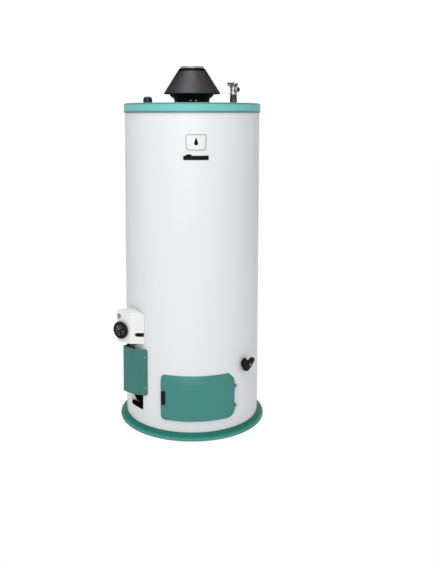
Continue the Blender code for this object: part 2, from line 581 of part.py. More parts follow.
# ================================================================ inner door
def panel(name, key, az0, az1, z0, z1, r_in, t, corner, n, hole=None):
    """A curved sheet between two azimuths with rounded corners."""
    k = math.radians(1.0) * r_in
    bm = bmesh.new()
    pts = rounded([(az0 * k, z0), (az1 * k, z0), (az1 * k, z1), (az0 * k, z1)], corner, 4)
    f = bm.faces.new([bm.verts.new((x, 0.0, z)) for x, z in pts])
    ext = bmesh.ops.extrude_face_region(bm, geom=[f])
    bmesh.ops.translate(bm, verts=[g for g in ext["geom"] if isinstance(g, bmesh.types.BMVert)], vec=(0, 1, 0))
    for i in range(1, n):
        x = (az0 + (az1 - az0) * i / n) * k + 0.017
        bmesh.ops.bisect_plane(bm, geom=bm.verts[:] + bm.edges[:] + bm.faces[:],
                               plane_co=(x, 0, 0), plane_no=(1, 0, 0))
    for v in bm.verts:
        v.co = polar(v.co.x / k, r_in + (t if v.co.y > 0.5 else 0.0), v.co.z)
    return finish(bm, name, key)


inner_door = panel("inner_door", "galv", -20.0, 30.0, 55.0, 198.0, R_TANK + 0.9, 1.4, 8.0, 10)
cut(inner_door, bar("cut_sight_hole", 14.0, polar(5, 190, 150), polar(5, 220, 150)))
sight_glass = finish(spun([(0, 199.0), (13.4, 199.0), (13.4, 206.6), (0, 206.6)], 20,
                          axis=polar(5, 1.0), center=(0, 0, 150.0)), "sight_glass", "glass")

# ================================================================ access door
# A pressed sheet, curved with the jacket.  Its flanges run back to the jacket, its
# upper edge is a wide sloping lip and its upper right corner is clipped.
def door_shell():
    k = math.radians(1.0) * R_JACKET
    a0, a1 = DOOR_AZ[0] * k, DOOR_AZ[1] * k
    z0, z1 = DOOR_Z
    outer = rounded([(a0, z0), (a1, z0), (a1, z1 - 20.0), (a1 - 22.0, z1), (a0, z1)],
                    [13.0, 26.0, 8.0, 9.0, 13.0], 5)

    def inset(poly, left, right, bottom, top):
        cx0, cx1 = a0 + left, a1 - right
        cz0, cz1 = z0 + bottom, z1 - top
        return [(cx0 + (x - a0) / (a1 - a0) * (cx1 - cx0), cz0 + (z - z0) / (z1 - z0) * (cz1 - cz0))
                for x, z in poly]

    back = 0.9
    d = DOOR_R_FACE - R_JACKET
    t = 1.4
    rings = [(outer, back + t * 0.0), (inset(outer, 1.2, 1.2, 1.2, 1.2), back + 1.8),
             (inset(outer, 4.6, 4.6, 4.6, 24.0), d - 1.6), (inset(outer, 8.0, 8.0, 8.0, 29.0), d)]
    inner = [(inset(outer, 2.2, 2.2, 2.2, 3.4), back), (inset(outer, 6.4, 6.4, 6.4, 27.0), d - 3.4),
             (inset(outer, 9.6, 9.6, 9.6, 31.0), d - t)]
    bm = bmesh.new()
    loops = []
    for poly, depth in rings + inner:
        loops.append([bm.verts.new((x, depth, z)) for x, z in poly])
    n = len(outer)
    o, i = loops[:4], loops[4:]

    def band(p, q):
        for j in range(n):
            bm.faces.new((p[j], p[(j + 1) % n], q[(j + 1) % n], q[j]))

    for p, q in zip(o, o[1:]):
        band(p, q)
    bm.faces.new(o[-1])
    for p, q in zip(i, i[1:]):
        band(q, p)
    bm.faces.new(list(reversed(i[-1])))
    band(i[0], o[0])
    m = 14
    for j in range(1, m):
        x = a0 + (a1 - a0) * j / m + 0.021
        bmesh.ops.bisect_plane(bm, geom=bm.verts[:] + bm.edges[:] + bm.faces[:],
                               plane_co=(x, 0, 0), plane_no=(1, 0, 0))
    bmesh.ops.connect_verts_concave(bm, faces=[f for f in bm.faces if len(f.verts) > 4])
    for v in bm.verts:
        v.co = polar(v.co.x / k, R_JACKET + v.co.y, v.co.z)
    return bm


hinge_xy = polar(HINGE_AZ, HINGE_R)
pivot = bpy.data.objects.new("door_pivot", None)
bpy.context.scene.collection.objects.link(pivot)
pivot.location = hinge_xy * MM


def on_pivot(ob):
    """Hang a piece on the hinge axis without moving it."""
    ob.parent = pivot
    ob.matrix_parent_inverse = Matrix.Translation(hinge_xy * MM).inverted()
    return ob


access_door = on_pivot(finish(door_shell(), "access_door", "green"))

# door latch: a finger slide on the door's left edge
def latch():
    k = math.radians(1.0) * R_JACKET
    c = (DOOR_AZ[0] + 2.8) * k
    poly = rounded([(c - 5.5, 112.0), (c + 6.5, 112.0), (c + 6.5, 157.0), (c - 5.5, 157.0)], 3.0, 3)
    bm = bmesh.new()
    f = bm.faces.new([bm.verts.new((x, DOOR_R_FACE - R_JACKET + 0.35, z)) for x, z in poly])
    ext = bmesh.ops.extrude_face_region(bm, geom=[f])
    top = [g for g in ext["geom"] if isinstance(g, bmesh.types.BMVert)]
    bmesh.ops.translate(bm, verts=top, vec=(0, 4.4, 0))
    bmesh.ops.scale(bm, verts=top, vec=(0.86, 1.0, 0.95), space=Matrix.Translation((-c - 0.5, 0, -134.5)))
    for v in bm.verts:
        v.co = polar(v.co.x / k, R_JACKET + v.co.y, v.co.z)
    return bm


door_latch = on_pivot(finish(latch(), "door_latch", "black"))

# hinge: two knuckles on the jacket, two on the door and one pin
HINGES = ((84.0, 92.4, 92.8, 101.0), (150.0, 158.4, 158.8, 167.0))


def knuckle(name, z0, z1, key, leaf_to, leaf_r):
    """A ring around the hinge pin with a leaf that runs to its own part."""
    ring = finish(spun([(1.9, z0), (3.3, z0), (3.3, z1), (1.9, z1)], 16, center=(hinge_xy.x, hinge_xy.y, 0)), name, key)
    a = polar(leaf_to, leaf_r)
    d = (a - hinge_xy)
    n = Vector((-d.y, d.x, 0)).normalized() * 0.55
    s = hinge_xy + d.normalized() * 2.3
    quad = [s + n, a + n, a - n, s - n]
    leaf = finish(prism([(p.x, p.y) for p in quad], z1 - z0 - 0.6, "Z", start=z0 + 0.3), "add_" + name, None)
    cut(ring, leaf, "UNION")
    return ring


for i, (a, b, c, d) in enumerate(HINGES):
    knuckle("jacket_knuckle_%d" % (i + 1), a, b, "jacket", HINGE_AZ + 3.0, R_JACKET + 1.2)
    on_pivot(knuckle("door_knuckle_%d" % (i + 1), c, d, "green", DOOR_AZ[1] - 0.25, R_JACKET + 5.4))
hinge_pin_1 = finish(spun([(0, 83.0), (1.5, 83.0), (1.5, 102.0), (0, 102.0)], 12,
                          center=(hinge_xy.x, hinge_xy.y, 0)), "hinge_pin_1", "steel")
hinge_pin_2 = finish(spun([(0, 149.0), (1.5, 149.0), (1.5, 168.0), (0, 168.0)], 12,
                          center=(hinge_xy.x, hinge_xy.y, 0)), "hinge_pin_2", "steel")

# ================================================================ drain cock
drain_n = polar(AZ_DRAIN, 1.0)
drain_valve_body = finish(spun([(0, 190), (10.2, 190), (10.2, 231.2), (14.5, 231.2), (15.5, 232.2), (15.5, 235.0),
                                (12.0, 236.4), (12.0, 248.0), (0, 248.0)], 14, axis=drain_n,
                               center=(0, 0, Z_DRAIN)), "drain_valve_body", "black")
spout_at = polar(AZ_DRAIN, 239.6, Z_DRAIN)
spout = finish(spun([(0, 2.0), (7.6, 2.0), (7.6, 20.0), (8.4, 21.0), (8.4, 24.0), (0, 24.0)], 12,
                    axis=(0, 0, -1), center=spout_at), "add_drain_spout", None)
cut(drain_valve_body, spout, "UNION")
cut(drain_valve_body, bar("cut_drain_outlet", 4.6, spout_at + Vector((0, 0, -4)), spout_at + Vector((0, 0, -40)), 16))
cut(drain_valve_body, bar("cut_drain_inlet", 4.9, polar(AZ_DRAIN, 180, Z_DRAIN), polar(AZ_DRAIN, 240.3, Z_DRAIN), 15))

ell = [(27.0 * math.copysign(abs(math.cos(t)) ** 0.92, math.cos(t)),
        10.2 * math.copysign(abs(math.sin(t)) ** 0.92, math.sin(t)))
       for t in (2 * math.pi * j / 28 for j in range(28))]
wing = prism(ell, -12.0, "Y", start=0.0)
wedge_edges = [e for e in wing.edges if all(abs(v.co.y + 12.0) < 1e-6 for v in e.verts)]
bmesh.ops.bevel(wing, geom=wedge_edges, offset=2.6, segments=2, profile=0.5, affect="EDGES")
M_WING = (Matrix.Translation(polar(AZ_DRAIN, 248.5, Z_DRAIN) * MM) @ Matrix.Rotation(math.radians(AZ_DRAIN), 4, "Z")
          @ Matrix.Rotation(math.radians(-(90.0 - DRAIN_TILT)), 4, "Y"))
drain_valve_handle = finish(wing, "drain_valve_handle", "black", matrix=M_WING)

# ================================================================ front plates
def plate(name, key, corners, radii, t, n):
    k = math.radians(1.0) * R_JACKET
    pts = rounded([(x + AZ_BADGE * k, z) for x, z in corners], radii, 3)
    bm = bmesh.new()
    f = bm.faces.new([bm.verts.new((x, 0.0, z)) for x, z in pts])
    ext = bmesh.ops.extrude_face_region(bm, geom=[f])
    bmesh.ops.translate(bm, verts=[g for g in ext["geom"] if isinstance(g, bmesh.types.BMVert)], vec=(0, 1, 0))
    xs = [p[0] for p in pts]
    for i in range(1, n):
        bmesh.ops.bisect_plane(bm, geom=bm.verts[:] + bm.edges[:] + bm.faces[:],
                               plane_co=(min(xs) + (max(xs) - min(xs)) * i / n + 0.01, 0, 0), plane_no=(1, 0, 0))
    for v in bm.verts:
        v.co = polar(v.co.x / k, R_JACKET + GAP + (t if v.co.y > 0.5 else 0.0), v.co.z)
    return finish(bm, name, key)


badge_plate = plate("badge_plate", "badge", [(-30.0, 939.5), (30.0, 939.5), (33.8, 989.3), (-33.8, 989.3)],
                    6.0, 1.0, 4)
label_bar = plate("label_bar", "black", [(-40.0, 909.0), (40.0, 909.0), (40.0, 927.0), (-40.0, 927.0)],
                  4.0, 1.0, 4)
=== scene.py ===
import math

import bmesh
import bpy
from mathutils import Matrix, Vector


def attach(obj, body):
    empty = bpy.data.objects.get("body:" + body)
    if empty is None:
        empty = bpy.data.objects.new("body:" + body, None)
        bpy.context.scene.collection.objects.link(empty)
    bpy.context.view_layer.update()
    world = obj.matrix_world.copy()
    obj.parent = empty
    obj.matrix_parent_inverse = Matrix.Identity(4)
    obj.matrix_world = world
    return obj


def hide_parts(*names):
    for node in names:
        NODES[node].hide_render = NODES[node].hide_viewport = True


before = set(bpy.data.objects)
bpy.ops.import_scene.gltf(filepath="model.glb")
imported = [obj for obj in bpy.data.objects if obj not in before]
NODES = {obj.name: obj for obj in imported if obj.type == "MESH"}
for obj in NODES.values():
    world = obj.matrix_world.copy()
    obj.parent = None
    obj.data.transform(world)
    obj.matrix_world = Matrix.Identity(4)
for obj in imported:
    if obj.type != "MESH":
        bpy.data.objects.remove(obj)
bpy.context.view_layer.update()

MM = 0.001
TAU = 2 * math.pi


# ================================================================== camera
cam_data = bpy.data.cameras.new("camera")
cam = bpy.data.objects.new("camera", cam_data)
bpy.context.scene.collection.objects.link(cam)
cam.location = (0.0, -2.476, 1.050)
cam.rotation_euler = (math.radians(90.0 - 5.471), 0.0, 0.0)
cam_data.sensor_width = 36.0
cam_data.lens = 45.758
cam_data.shift_x = 0.0441
cam_data.shift_y = -0.175
cam_data.clip_start = 0.05
cam_data.clip_end = 60.0
bpy.context.scene.camera = cam


# ================================================================== materials
def hexmix(a, b, t):
    return tuple(a[i] * (1 - t) + b[i] * t for i in range(3))


class Mat:
    """A procedural material, built up a layer at a time."""

    def __init__(self, name, color, rough=0.4, metal=0.0, spec=0.5, coat=0.0, coat_rough=0.1, sheen=0.0):
        self.m = bpy.data.materials.new(name)
        self.m.use_nodes = True
        self.t = self.m.node_tree
        self.n = self.t.nodes
        self.b = self.n["Principled BSDF"]
        self.b.inputs["Metallic"].default_value = metal
        self.b.inputs["Specular IOR Level"].default_value = spec
        self.b.inputs["Coat Weight"].default_value = coat
        self.b.inputs["Coat Roughness"].default_value = coat_rough
        self.b.inputs["Sheen Weight"].default_value = sheen
        self.tc = self.n.new("ShaderNodeTexCoord")
        self.color = None
        self.rough = None
        self.height = None
        rgb = self.n.new("ShaderNodeRGB")
        rgb.outputs[0].default_value = (*color, 1)
        self.color = rgb.outputs[0]
        self.r0 = rough
        self.b.inputs["Roughness"].default_value = rough

    def link(self, a, b):
        self.t.links.new(a, b)

    def coords(self, scale=(1, 1, 1)):
        mp = self.n.new("ShaderNodeMapping")
        mp.inputs["Scale"].default_value = scale
        self.link(self.tc.outputs["Object"], mp.inputs["Vector"])
        return mp.outputs["Vector"]

    def noise(self, scale, detail=4.0, rough=0.55, stretch=(1, 1, 1), distortion=0.0):
        t = self.n.new("ShaderNodeTexNoise")
        t.inputs["Scale"].default_value = scale
        t.inputs["Detail"].default_value = detail
        t.inputs["Roughness"].default_value = rough
        t.inputs["Distortion"].default_value = distortion
        self.link(self.coords(stretch), t.inputs["Vector"])
        return t.outputs["Fac"]

    def voronoi(self, scale, stretch=(1, 1, 1)):
        t = self.n.new("ShaderNodeTexVoronoi")
        t.inputs["Scale"].default_value = scale
        self.link(self.coords(stretch), t.inputs["Vector"])
        return t.outputs["Distance"], t.outputs["Color"]

    def ramp(self, fac, lo, hi, a=0.0, b=1.0):
        r = self.n.new("ShaderNodeMapRange")
        r.inputs["From Min"].default_value = lo
        r.inputs["From Max"].default_value = hi
        r.inputs["To Min"].default_value = a
        r.inputs["To Max"].default_value = b
        r.clamp = True
        self.link(fac, r.inputs["Value"])
        return r.outputs["Result"]

    def tint(self, fac, color, blend="MIX"):
        mx = self.n.new("ShaderNodeMix")
        mx.data_type = "RGBA"
        mx.blend_type = blend
        self.link(fac, mx.inputs["Factor"])
        self.link(self.color, mx.inputs["A"])
        mx.inputs["B"].default_value = (*color, 1)
        self.color = mx.outputs["Result"]
        return self

    def vary(self, scale, amount, stretch=(1, 1, 1), detail=5.0):
        """Lighter and darker patches."""
        f = self.noise(scale, detail, 0.6, stretch)
        mul = self.n.new("ShaderNodeMix")
        mul.data_type = "RGBA"
        mul.blend_type = "MULTIPLY"
        mul.inputs["Factor"].default_value = 1.0
        g = self.n.new("ShaderNodeCombineColor")
        v = self.ramp(f, 0.25, 0.75, 1.0 - amount, 1.0 + amount)
        for i in range(3):
            self.link(v, g.inputs[i])
        self.link(self.color, mul.inputs["A"])
        self.link(g.outputs[0], mul.inputs["B"])
        self.color = mul.outputs["Result"]
        return self

    def roughen(self, scale, amount, stretch=(1, 1, 1)):
        f = self.noise(scale, 4.0, 0.6, stretch)
        self.rough = self.ramp(f, 0.3, 0.7, max(0.02, self.r0 - amount), min(1.0, self.r0 + amount))
        return self

    def add_rough(self, fac, amount):
        m = self.n.new("ShaderNodeMath")
        m.operation = "MULTIPLY_ADD"
        self.link(fac, m.inputs[0])
        m.inputs[1].default_value = amount
        if self.rough is None:
            m.inputs[2].default_value = self.r0
        else:
            self.link(self.rough, m.inputs[2])
        self.rough = m.outputs[0]
        return self

    def bump(self, fac, strength, distance):
        b = self.n.new("ShaderNodeBump")
        b.inputs["Strength"].default_value = strength
        b.inputs["Distance"].default_value = distance
        self.link(fac, b.inputs["Height"])
        if self.height is not None:
            self.link(self.height, b.inputs["Normal"])
        self.height = b.outputs["Normal"]
        return self

    def edges(self, color, amount, lo=0.52, hi=0.60):
        """Painted highlight along convex edges, which on worn parts also stands for bare metal, broken up by noise."""
        g = self.n.new("ShaderNodeNewGeometry")
        e = self.ramp(g.outputs["Pointiness"], lo, hi)
        nz = self.ramp(self.noise(160, 3.0), 0.35, 0.65, 0.25, 1.0)
        m = self.n.new("ShaderNodeMath")
        m.operation = "MULTIPLY"
        self.link(e, m.inputs[0])
        self.link(nz, m.inputs[1])
        m2 = self.n.new("ShaderNodeMath")
        m2.operation = "MULTIPLY"
        self.link(m.outputs[0], m2.inputs[0])
        m2.inputs[1].default_value = amount
        return self.tint(m2.outputs[0], color)

    def axis(self, i):
        """One object-space coordinate, in metres."""
        sep_ = self.n.new("ShaderNodeSeparateXYZ")
        self.link(self.tc.outputs["Object"], sep_.inputs[0])
        return sep_.outputs[i]

    def radius(self):
        """Distance from the heater's own axis, in metres."""
        cb = self.n.new("ShaderNodeCombineXYZ")
        self.link(self.axis(0), cb.inputs[0])
        self.link(self.axis(1), cb.inputs[1])
        vm = self.n.new("ShaderNodeVectorMath")
        vm.operation = "LENGTH"
        self.link(cb.outputs[0], vm.inputs[0])
        return vm.outputs["Value"]

    def both(self, a, b):
        m = self.n.new("ShaderNodeMath")
        m.operation = "MULTIPLY"
        self.link(a, m.inputs[0])
        self.link(b, m.inputs[1])
        return m.outputs[0]

    def grime_and_painted_shade(self, color, amount, dist=0.012, samples=8, lo=0.35, hi=0.95):
        """Painted shade: darker in creases by ambient occlusion, which on some metals also stands for grime."""
        ao = self.n.new("ShaderNodeAmbientOcclusion")
        ao.samples = samples
        ao.inputs["Distance"].default_value = dist
        inv = self.ramp(ao.outputs["AO"], lo, hi, amount, 0.0)
        return self.tint(inv, color)

    def specks(self, scale, size, color, amount):
        d, _ = self.voronoi(scale)
        f = self.ramp(d, size * 0.6, size, amount, 0.0)
        return self.tint(f, color)

    def done(self):
        self.link(self.color, self.b.inputs["Base Color"])
        if self.rough is not None:
            self.link(self.rough, self.b.inputs["Roughness"])
        if self.height is not None:
            self.link(self.height, self.b.inputs["Normal"])
        return self.m


def enamel(name, color, rough, peel=0.02, dist=0.0004, var=0.02, coat=0.25, spec=0.5, wave=0.012):
    """Baked enamel on sheet steel: fine orange peel, faint patches, soft gloss."""
    m = Mat(name, color, rough, coat=coat, coat_rough=0.16, spec=spec)
    m.vary(3.0, var).vary(60.0, var * 0.5)
    m.roughen(18.0, 0.05)
    m.bump(m.noise(420.0, 2.0, 0.5), peel, dist)
    m.bump(m.noise(7.0, 2.0, 0.4), wave, 0.0015)
    return m


M = {}
w = enamel("white_enamel", (0.765, 0.775, 0.785), 0.34, peel=0.02, var=0.006, coat=0.12, spec=0.42, wave=0.0)
# painted shade: ambient occlusion darkens the jacket round the housing, the cover and the fittings, as their cast
# shadow
w.grime_and_painted_shade((0.36, 0.37, 0.375), 0.60, 0.026)
M["jacket"] = w.done()

t = enamel("teal_enamel", (0.186, 0.525, 0.500), 0.36, peel=0.04, var=0.03, coat=0.0, spec=0.24, wave=0.006)
t.edges((0.32, 0.68, 0.64), 0.4).grime_and_painted_shade((0.03, 0.17, 0.16), 0.8, 0.014, hi=0.98)
# painted highlight on the pan's edges and painted shade in its creases; painted shade as darker bands round the rolled
# top edge and along the bottom bead, as the bead's shadow
t.tint(t.both(t.ramp(t.axis(2), 1.0822, 1.0852, 0.0, 0.80), t.ramp(t.radius(), 0.2290, 0.2308)), (0.055, 0.190, 0.170))
t.tint(t.ramp(t.axis(2), 1.0650, 1.0610, 0.0, 0.78), (0.045, 0.215, 0.205))
M["pan"] = t.done()

g = enamel("green_enamel", (0.018, 0.205, 0.165), 0.45, peel=0.08, var=0.05, coat=0.0, spec=0.12, wave=0.006)
# painted highlight on the rolled outer edge and painted shadow in the channel next to the jacket
g.edges((0.16, 0.44, 0.36), 0.9).grime_and_painted_shade((0.0005, 0.026, 0.022), 0.98, 0.045, lo=0.55, hi=0.97)
# painted highlight: the ring is lighter towards its lower rolled bead, as reflected floor light
g.tint(g.ramp(g.axis(2), 0.0125, 0.0085, 0.0, 0.75), (0.10, 0.37, 0.31))
M["green"] = g.done()

g = enamel("green_door_enamel", (0.042, 0.228, 0.200), 0.40, peel=0.09, var=0.04, coat=0.06, spec=0.40)
# painted highlight on the door's edges and painted shade in its creases
g.edges((0.12, 0.38, 0.33), 0.5).grime_and_painted_shade((0.010, 0.09, 0.08), 0.5, 0.012)
M["door"] = g.done()

g = enamel("green_cover_enamel", (0.026, 0.160, 0.138), 0.42, peel=0.09, var=0.04, coat=0.04, spec=0.40)
# painted highlight on the cover's edges and painted shade in its creases
g.edges((0.11, 0.36, 0.31), 0.5).grime_and_painted_shade((0.008, 0.07, 0.06), 0.5, 0.012)
M["cover_green"] = g.done()

h = Mat("hood_dark_paint", (0.092, 0.092, 0.095), 0.50, metal=1.0)
h.b.inputs["Specular Tint"].default_value = (0.12, 0.12, 0.12, 1)
h.vary(14.0, 0.14).vary(120.0, 0.08).roughen(30.0, 0.07)
# painted dark reflection: the cone's top shoulder is blackened next to the collar
h.tint(h.ramp(h.axis(2), 1.1955, 1.1985, 0.0, 0.92), (0.006, 0.006, 0.006))
h.bump(h.noise(300.0, 3.0), 0.08, 0.0004)
M["hood"] = h.done()

h = Mat("hood_inner_black", (0.0045, 0.0032, 0.0045), 0.55, spec=0.07)
h.vary(20.0, 0.3).vary(120.0, 0.2).roughen(30.0, 0.12).bump(h.noise(240.0, 4.0), 0.15, 0.0004)
M["hood_black"] = h.done()

h = Mat("collar_galvanised", (0.40, 0.405, 0.42), 0.62, metal=0.8)
h.vary(60.0, 0.12).roughen(90.0, 0.10).bump(h.noise(260.0, 3.0), 0.06, 0.0003)
M["collar"] = h.done()

c = Mat("cap_navy_plastic", (0.009, 0.010, 0.034), 0.32, spec=0.45)
c.vary(40.0, 0.2).roughen(60.0, 0.08).bump(c.noise(500.0, 3.0), 0.08, 0.0004)
M["cap"] = c.done()

k = Mat("black_plastic", (0.0048, 0.0045, 0.0052), 0.42, spec=0.16)
k.vary(60.0, 0.25).roughen(80.0, 0.10).bump(k.noise(700.0, 3.0), 0.14, 0.0004)
# painted highlight along the black plastic parts' edges
k.edges((0.035, 0.035, 0.035), 0.4)
M["black"] = k.done()

s = Mat("pressed_steel", (0.42, 0.42, 0.43), 0.32, metal=1.0)
s.vary(30.0, 0.10).roughen(60.0, 0.10, (1, 1, 8)).bump(s.noise(260.0, 4.0, 0.6, (1, 1, 10)), 0.10, 0.0003)
M["steel"] = s.done()

s = Mat("galvanised_sheet", (0.50, 0.515, 0.53), 0.42, metal=1.0)
_, cell = s.voronoi(70.0)
sep = s.n.new("ShaderNodeSeparateColor")
s.link(cell, sep.inputs[0])
s.tint(s.ramp(sep.outputs[0], 0.0, 1.0, 0.0, 0.45), (0.36, 0.38, 0.40))
s.add_rough(sep.outputs[1], 0.16)
s.bump(s.noise(300.0, 3.0), 0.06, 0.0004)
M["galv"] = s.done()

b = Mat("machined_brass", (0.60, 0.44, 0.20), 0.27, metal=1.0)
b.vary(50.0, 0.12).roughen(90.0, 0.10, (1, 1, 12)).bump(b.noise(500.0, 3.0, 0.6, (1, 1, 14)), 0.10, 0.0002)
b.grime_and_painted_shade((0.13, 0.08, 0.04), 0.6, 0.004)
M["brass"] = b.done()

b = Mat("bright_valve_metal", (0.62, 0.61, 0.585), 0.32, metal=0.9)
b.vary(60.0, 0.08).roughen(90.0, 0.08).bump(b.noise(400.0, 3.0), 0.08, 0.0002)
b.grime_and_painted_shade((0.20, 0.15, 0.10), 0.7, 0.005)
M["chrome"] = b.done()

b = Mat("bronze_pipe", (0.105, 0.090, 0.092), 0.44, metal=0.75)
b.vary(70.0, 0.35).roughen(120.0, 0.14).bump(b.noise(260.0, 5.0), 0.20, 0.0004)
b.tint(b.ramp(b.noise(45.0, 5.0), 0.5, 0.7, 0.0, 0.6), (0.22, 0.19, 0.17))
M["bronze"] = b.done()

b = Mat("tarnished_brass", (0.20, 0.165, 0.120), 0.42, metal=0.9)
b.vary(60.0, 0.25).roughen(90.0, 0.12).bump(b.noise(400.0, 3.0), 0.12, 0.0003)
M["tarnish"] = b.done()

a = Mat("drawn_aluminium", (0.74, 0.75, 0.76), 0.28, metal=1.0)
a.vary(40.0, 0.08).roughen(60.0, 0.10).bump(a.noise(300.0, 3.0), 0.06, 0.0002)
M["alu"] = a.done()

a = Mat("cast_aluminium", (0.55, 0.56, 0.57), 0.5, metal=0.9)
a.vary(30.0, 0.10).roughen(60.0, 0.10).bump(a.noise(420.0, 5.0), 0.35, 0.0005)
M["cast"] = a.done()

c = Mat("copper_tube", (0.42, 0.25, 0.19), 0.36, metal=1.0)
c.vary(30.0, 0.20).roughen(60.0, 0.12).tint(c.ramp(c.noise(24.0, 5.0), 0.5, 0.75, 0.0, 0.6), (0.28, 0.13, 0.09))
M["copper"] = c.done()

v = enamel("white_moulded_cover", (0.815, 0.818, 0.818), 0.36, peel=0.05, var=0.010, coat=0.1, wave=0.004)
# painted shade in the housing's creases, by ambient occlusion
v.grime_and_painted_shade((0.40, 0.40, 0.40), 0.45, 0.010)
M["cover"] = v.done()

gq = Mat("grey_plastic", (0.30, 0.30, 0.30), 0.42)
gq.vary(80.0, 0.12).roughen(90.0, 0.08).bump(gq.noise(600.0, 3.0), 0.10, 0.0003)
M["grey"] = gq.done()

gq = Mat("dial_mark_grey", (0.30, 0.285, 0.26), 0.5)
gq.vary(300.0, 0.15).roughen(200.0, 0.1)
M["mark"] = gq.done()

f = Mat("rigid_foam", (0.70, 0.56, 0.27), 0.92)
f.vary(30.0, 0.12).specks(500.0, 0.35, (0.45, 0.34, 0.15), 0.6).bump(f.noise(600.0, 5.0), 0.6, 0.0012)
M["foam"] = f.done()

i = Mat("heat_dark_steel", (0.045, 0.043, 0.042), 0.6, metal=0.6)
i.vary(20.0, 0.3).roughen(40.0, 0.15).tint(i.ramp(i.noise(35.0, 6.0), 0.52, 0.7, 0.0, 0.5), (0.12, 0.065, 0.035))
i.bump(i.noise(300.0, 5.0), 0.25, 0.0006)
M["iron"] = i.done()

e = enamel("glass_lining_blue", (0.06, 0.11, 0.24), 0.22, peel=0.15, var=0.12, coat=0.5)
M["lining"] = e.done()

p = Mat("natural_plastic", (0.74, 0.74, 0.69), 0.45, spec=0.4)
p.vary(20.0, 0.04).roughen(60.0, 0.08).bump(p.noise(400.0, 2.0), 0.06, 0.0004)
M["plastic"] = p.done()

z = Mat("cast_magnesium", (0.46, 0.46, 0.47), 0.6, metal=0.8)
z.vary(30.0, 0.2).roughen(50.0, 0.12).bump(z.noise(250.0, 6.0), 0.4, 0.0008)
M["anode"] = z.done()

x = Mat("knurled_dark_metal", (0.075, 0.076, 0.080), 0.42, metal=0.7)
x.vary(90.0, 0.2).roughen(120.0, 0.12).edges((0.35, 0.35, 0.36), 0.7)
M["knurl"] = x.done()

x = Mat("lever_dull_steel", (0.088, 0.094, 0.088), 0.56, metal=0.6, spec=0.25)
x.vary(60.0, 0.2).roughen(110.0, 0.12, (1, 6, 1)).bump(x.noise(400.0, 4.0), 0.12, 0.0003).edges((0.26, 0.26, 0.25), 0.4)
M["lever"] = x.done()

q = Mat("sight_glass", (0.80, 0.84, 0.83), 0.04)
q.b.inputs["Transmission Weight"].default_value = 0.85
q.b.inputs["IOR"].default_value = 1.47
q.roughen(60.0, 0.02).vary(25.0, 0.04)
M["glass"] = q.done()

pl = Mat("badge_plate_face", (0.76, 0.765, 0.77), 0.26, coat=0.3)
pl.vary(20.0, 0.02).roughen(80.0, 0.05).bump(pl.noise(500.0, 2.0), 0.05, 0.0003)
M["badge"] = pl.done()
pl = Mat("badge_border_grey", (0.34, 0.345, 0.35), 0.34, metal=0.3)
pl.vary(60.0, 0.08).roughen(80.0, 0.06)
M["badge_line"] = pl.done()
pl = Mat("label_black", (0.0050, 0.0050, 0.0058), 0.40, spec=0.08)
pl.vary(40.0, 0.2).roughen(60.0, 0.08).bump(pl.noise(600.0, 2.0), 0.06, 0.0003)
M["label"] = pl.done()
rb = Mat("seal_rubber", (0.016, 0.016, 0.016), 0.75)
rb.vary(60.0, 0.2).bump(rb.noise(500.0, 4.0), 0.3, 0.0005)
M["rubber"] = rb.done()


# ================================================================== mesh tools
def polar(az, r, z=0.0):
    a = math.radians(az)
    return Vector((r * math.sin(a), -r * math.cos(a), z))


def place(bm, m):
    bmesh.ops.transform(bm, matrix=m, verts=bm.verts)
    return bm


def turn(az, x=0.0, y=0.0, z=0.0):
    return Matrix.Translation((x, y, z)) @ Matrix.Rotation(math.radians(az), 4, "Z")


def make(bm, name, mat, angle=35.0, body=None, replaces=(), flip_check=True):
    """A bmesh drawn in millimetres becomes a piece that rides on a body."""
    bmesh.ops.remove_doubles(bm, verts=bm.verts, dist=1e-4)
    bmesh.ops.recalc_face_normals(bm, faces=bm.faces)
    if flip_check and bm.calc_volume(signed=True) < 0:
        bmesh.ops.reverse_faces(bm, faces=bm.faces)
    for v in bm.verts:
        v.co *= MM
    me = bpy.data.meshes.new(name)
    bm.to_mesh(me)
    bm.free()
    me.shade_smooth()
    me.set_sharp_from_angle(angle=math.radians(angle))
    ob = bpy.data.objects.new(name, me)
    bpy.context.scene.collection.objects.link(ob)
    if mat is not None:
        me.materials.append(M[mat])
    if body:
        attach(ob, body)
    if replaces:
        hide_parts(*([replaces] if isinstance(replaces, str) else replaces))
    return ob


def lathe(profile, steps=128, closed=True):
    """Turn an (r, z) profile about Z.  Ends on the axis become poles."""
    bm = bmesh.new()
    pole = abs(profile[0][0]) < 1e-9 and abs(profile[-1][0]) < 1e-9
    rings = []
    for r, z in profile:
        if abs(r) < 1e-9:
            rings.append([bm.verts.new((0, 0, z))])
        else:
            rings.append([bm.verts.new((r * math.cos(TAU * i / steps), r * math.sin(TAU * i / steps), z))
                          for i in range(steps)])
    pairs = list(zip(rings, rings[1:]))
    if closed and not pole:
        pairs.append((rings[-1], rings[0]))
    for a, b in pairs:
        for i in range(steps):
            j = (i + 1) % steps
            if len(a) == 1 and len(b) == 1:
                continue
            if len(a) == 1:
                bm.faces.new((a[0], b[j], b[i]))
            elif len(b) == 1:
                bm.faces.new((a[i], a[j], b[0]))
            else:
                bm.faces.new((a[i], a[j], b[j], b[i]))
    return bm


def spin_part(profile, az0, az1, steps):
    """A closed (r, z) profile swept between two azimuths, with both ends closed."""
    bm = bmesh.new()
    rings = []
    for k in range(steps + 1):
        a = az0 + (az1 - az0) * k / steps
        rings.append([bm.verts.new(polar(a, r, z)) for r, z in profile])
    n = len(profile)
    for a, b in zip(rings, rings[1:]):
        for i in range(n):
            j = (i + 1) % n
            bm.faces.new((a[i], a[j], b[j], b[i]))
    bm.faces.new(list(reversed(rings[0])))
    bm.faces.new(rings[-1])
    return bm


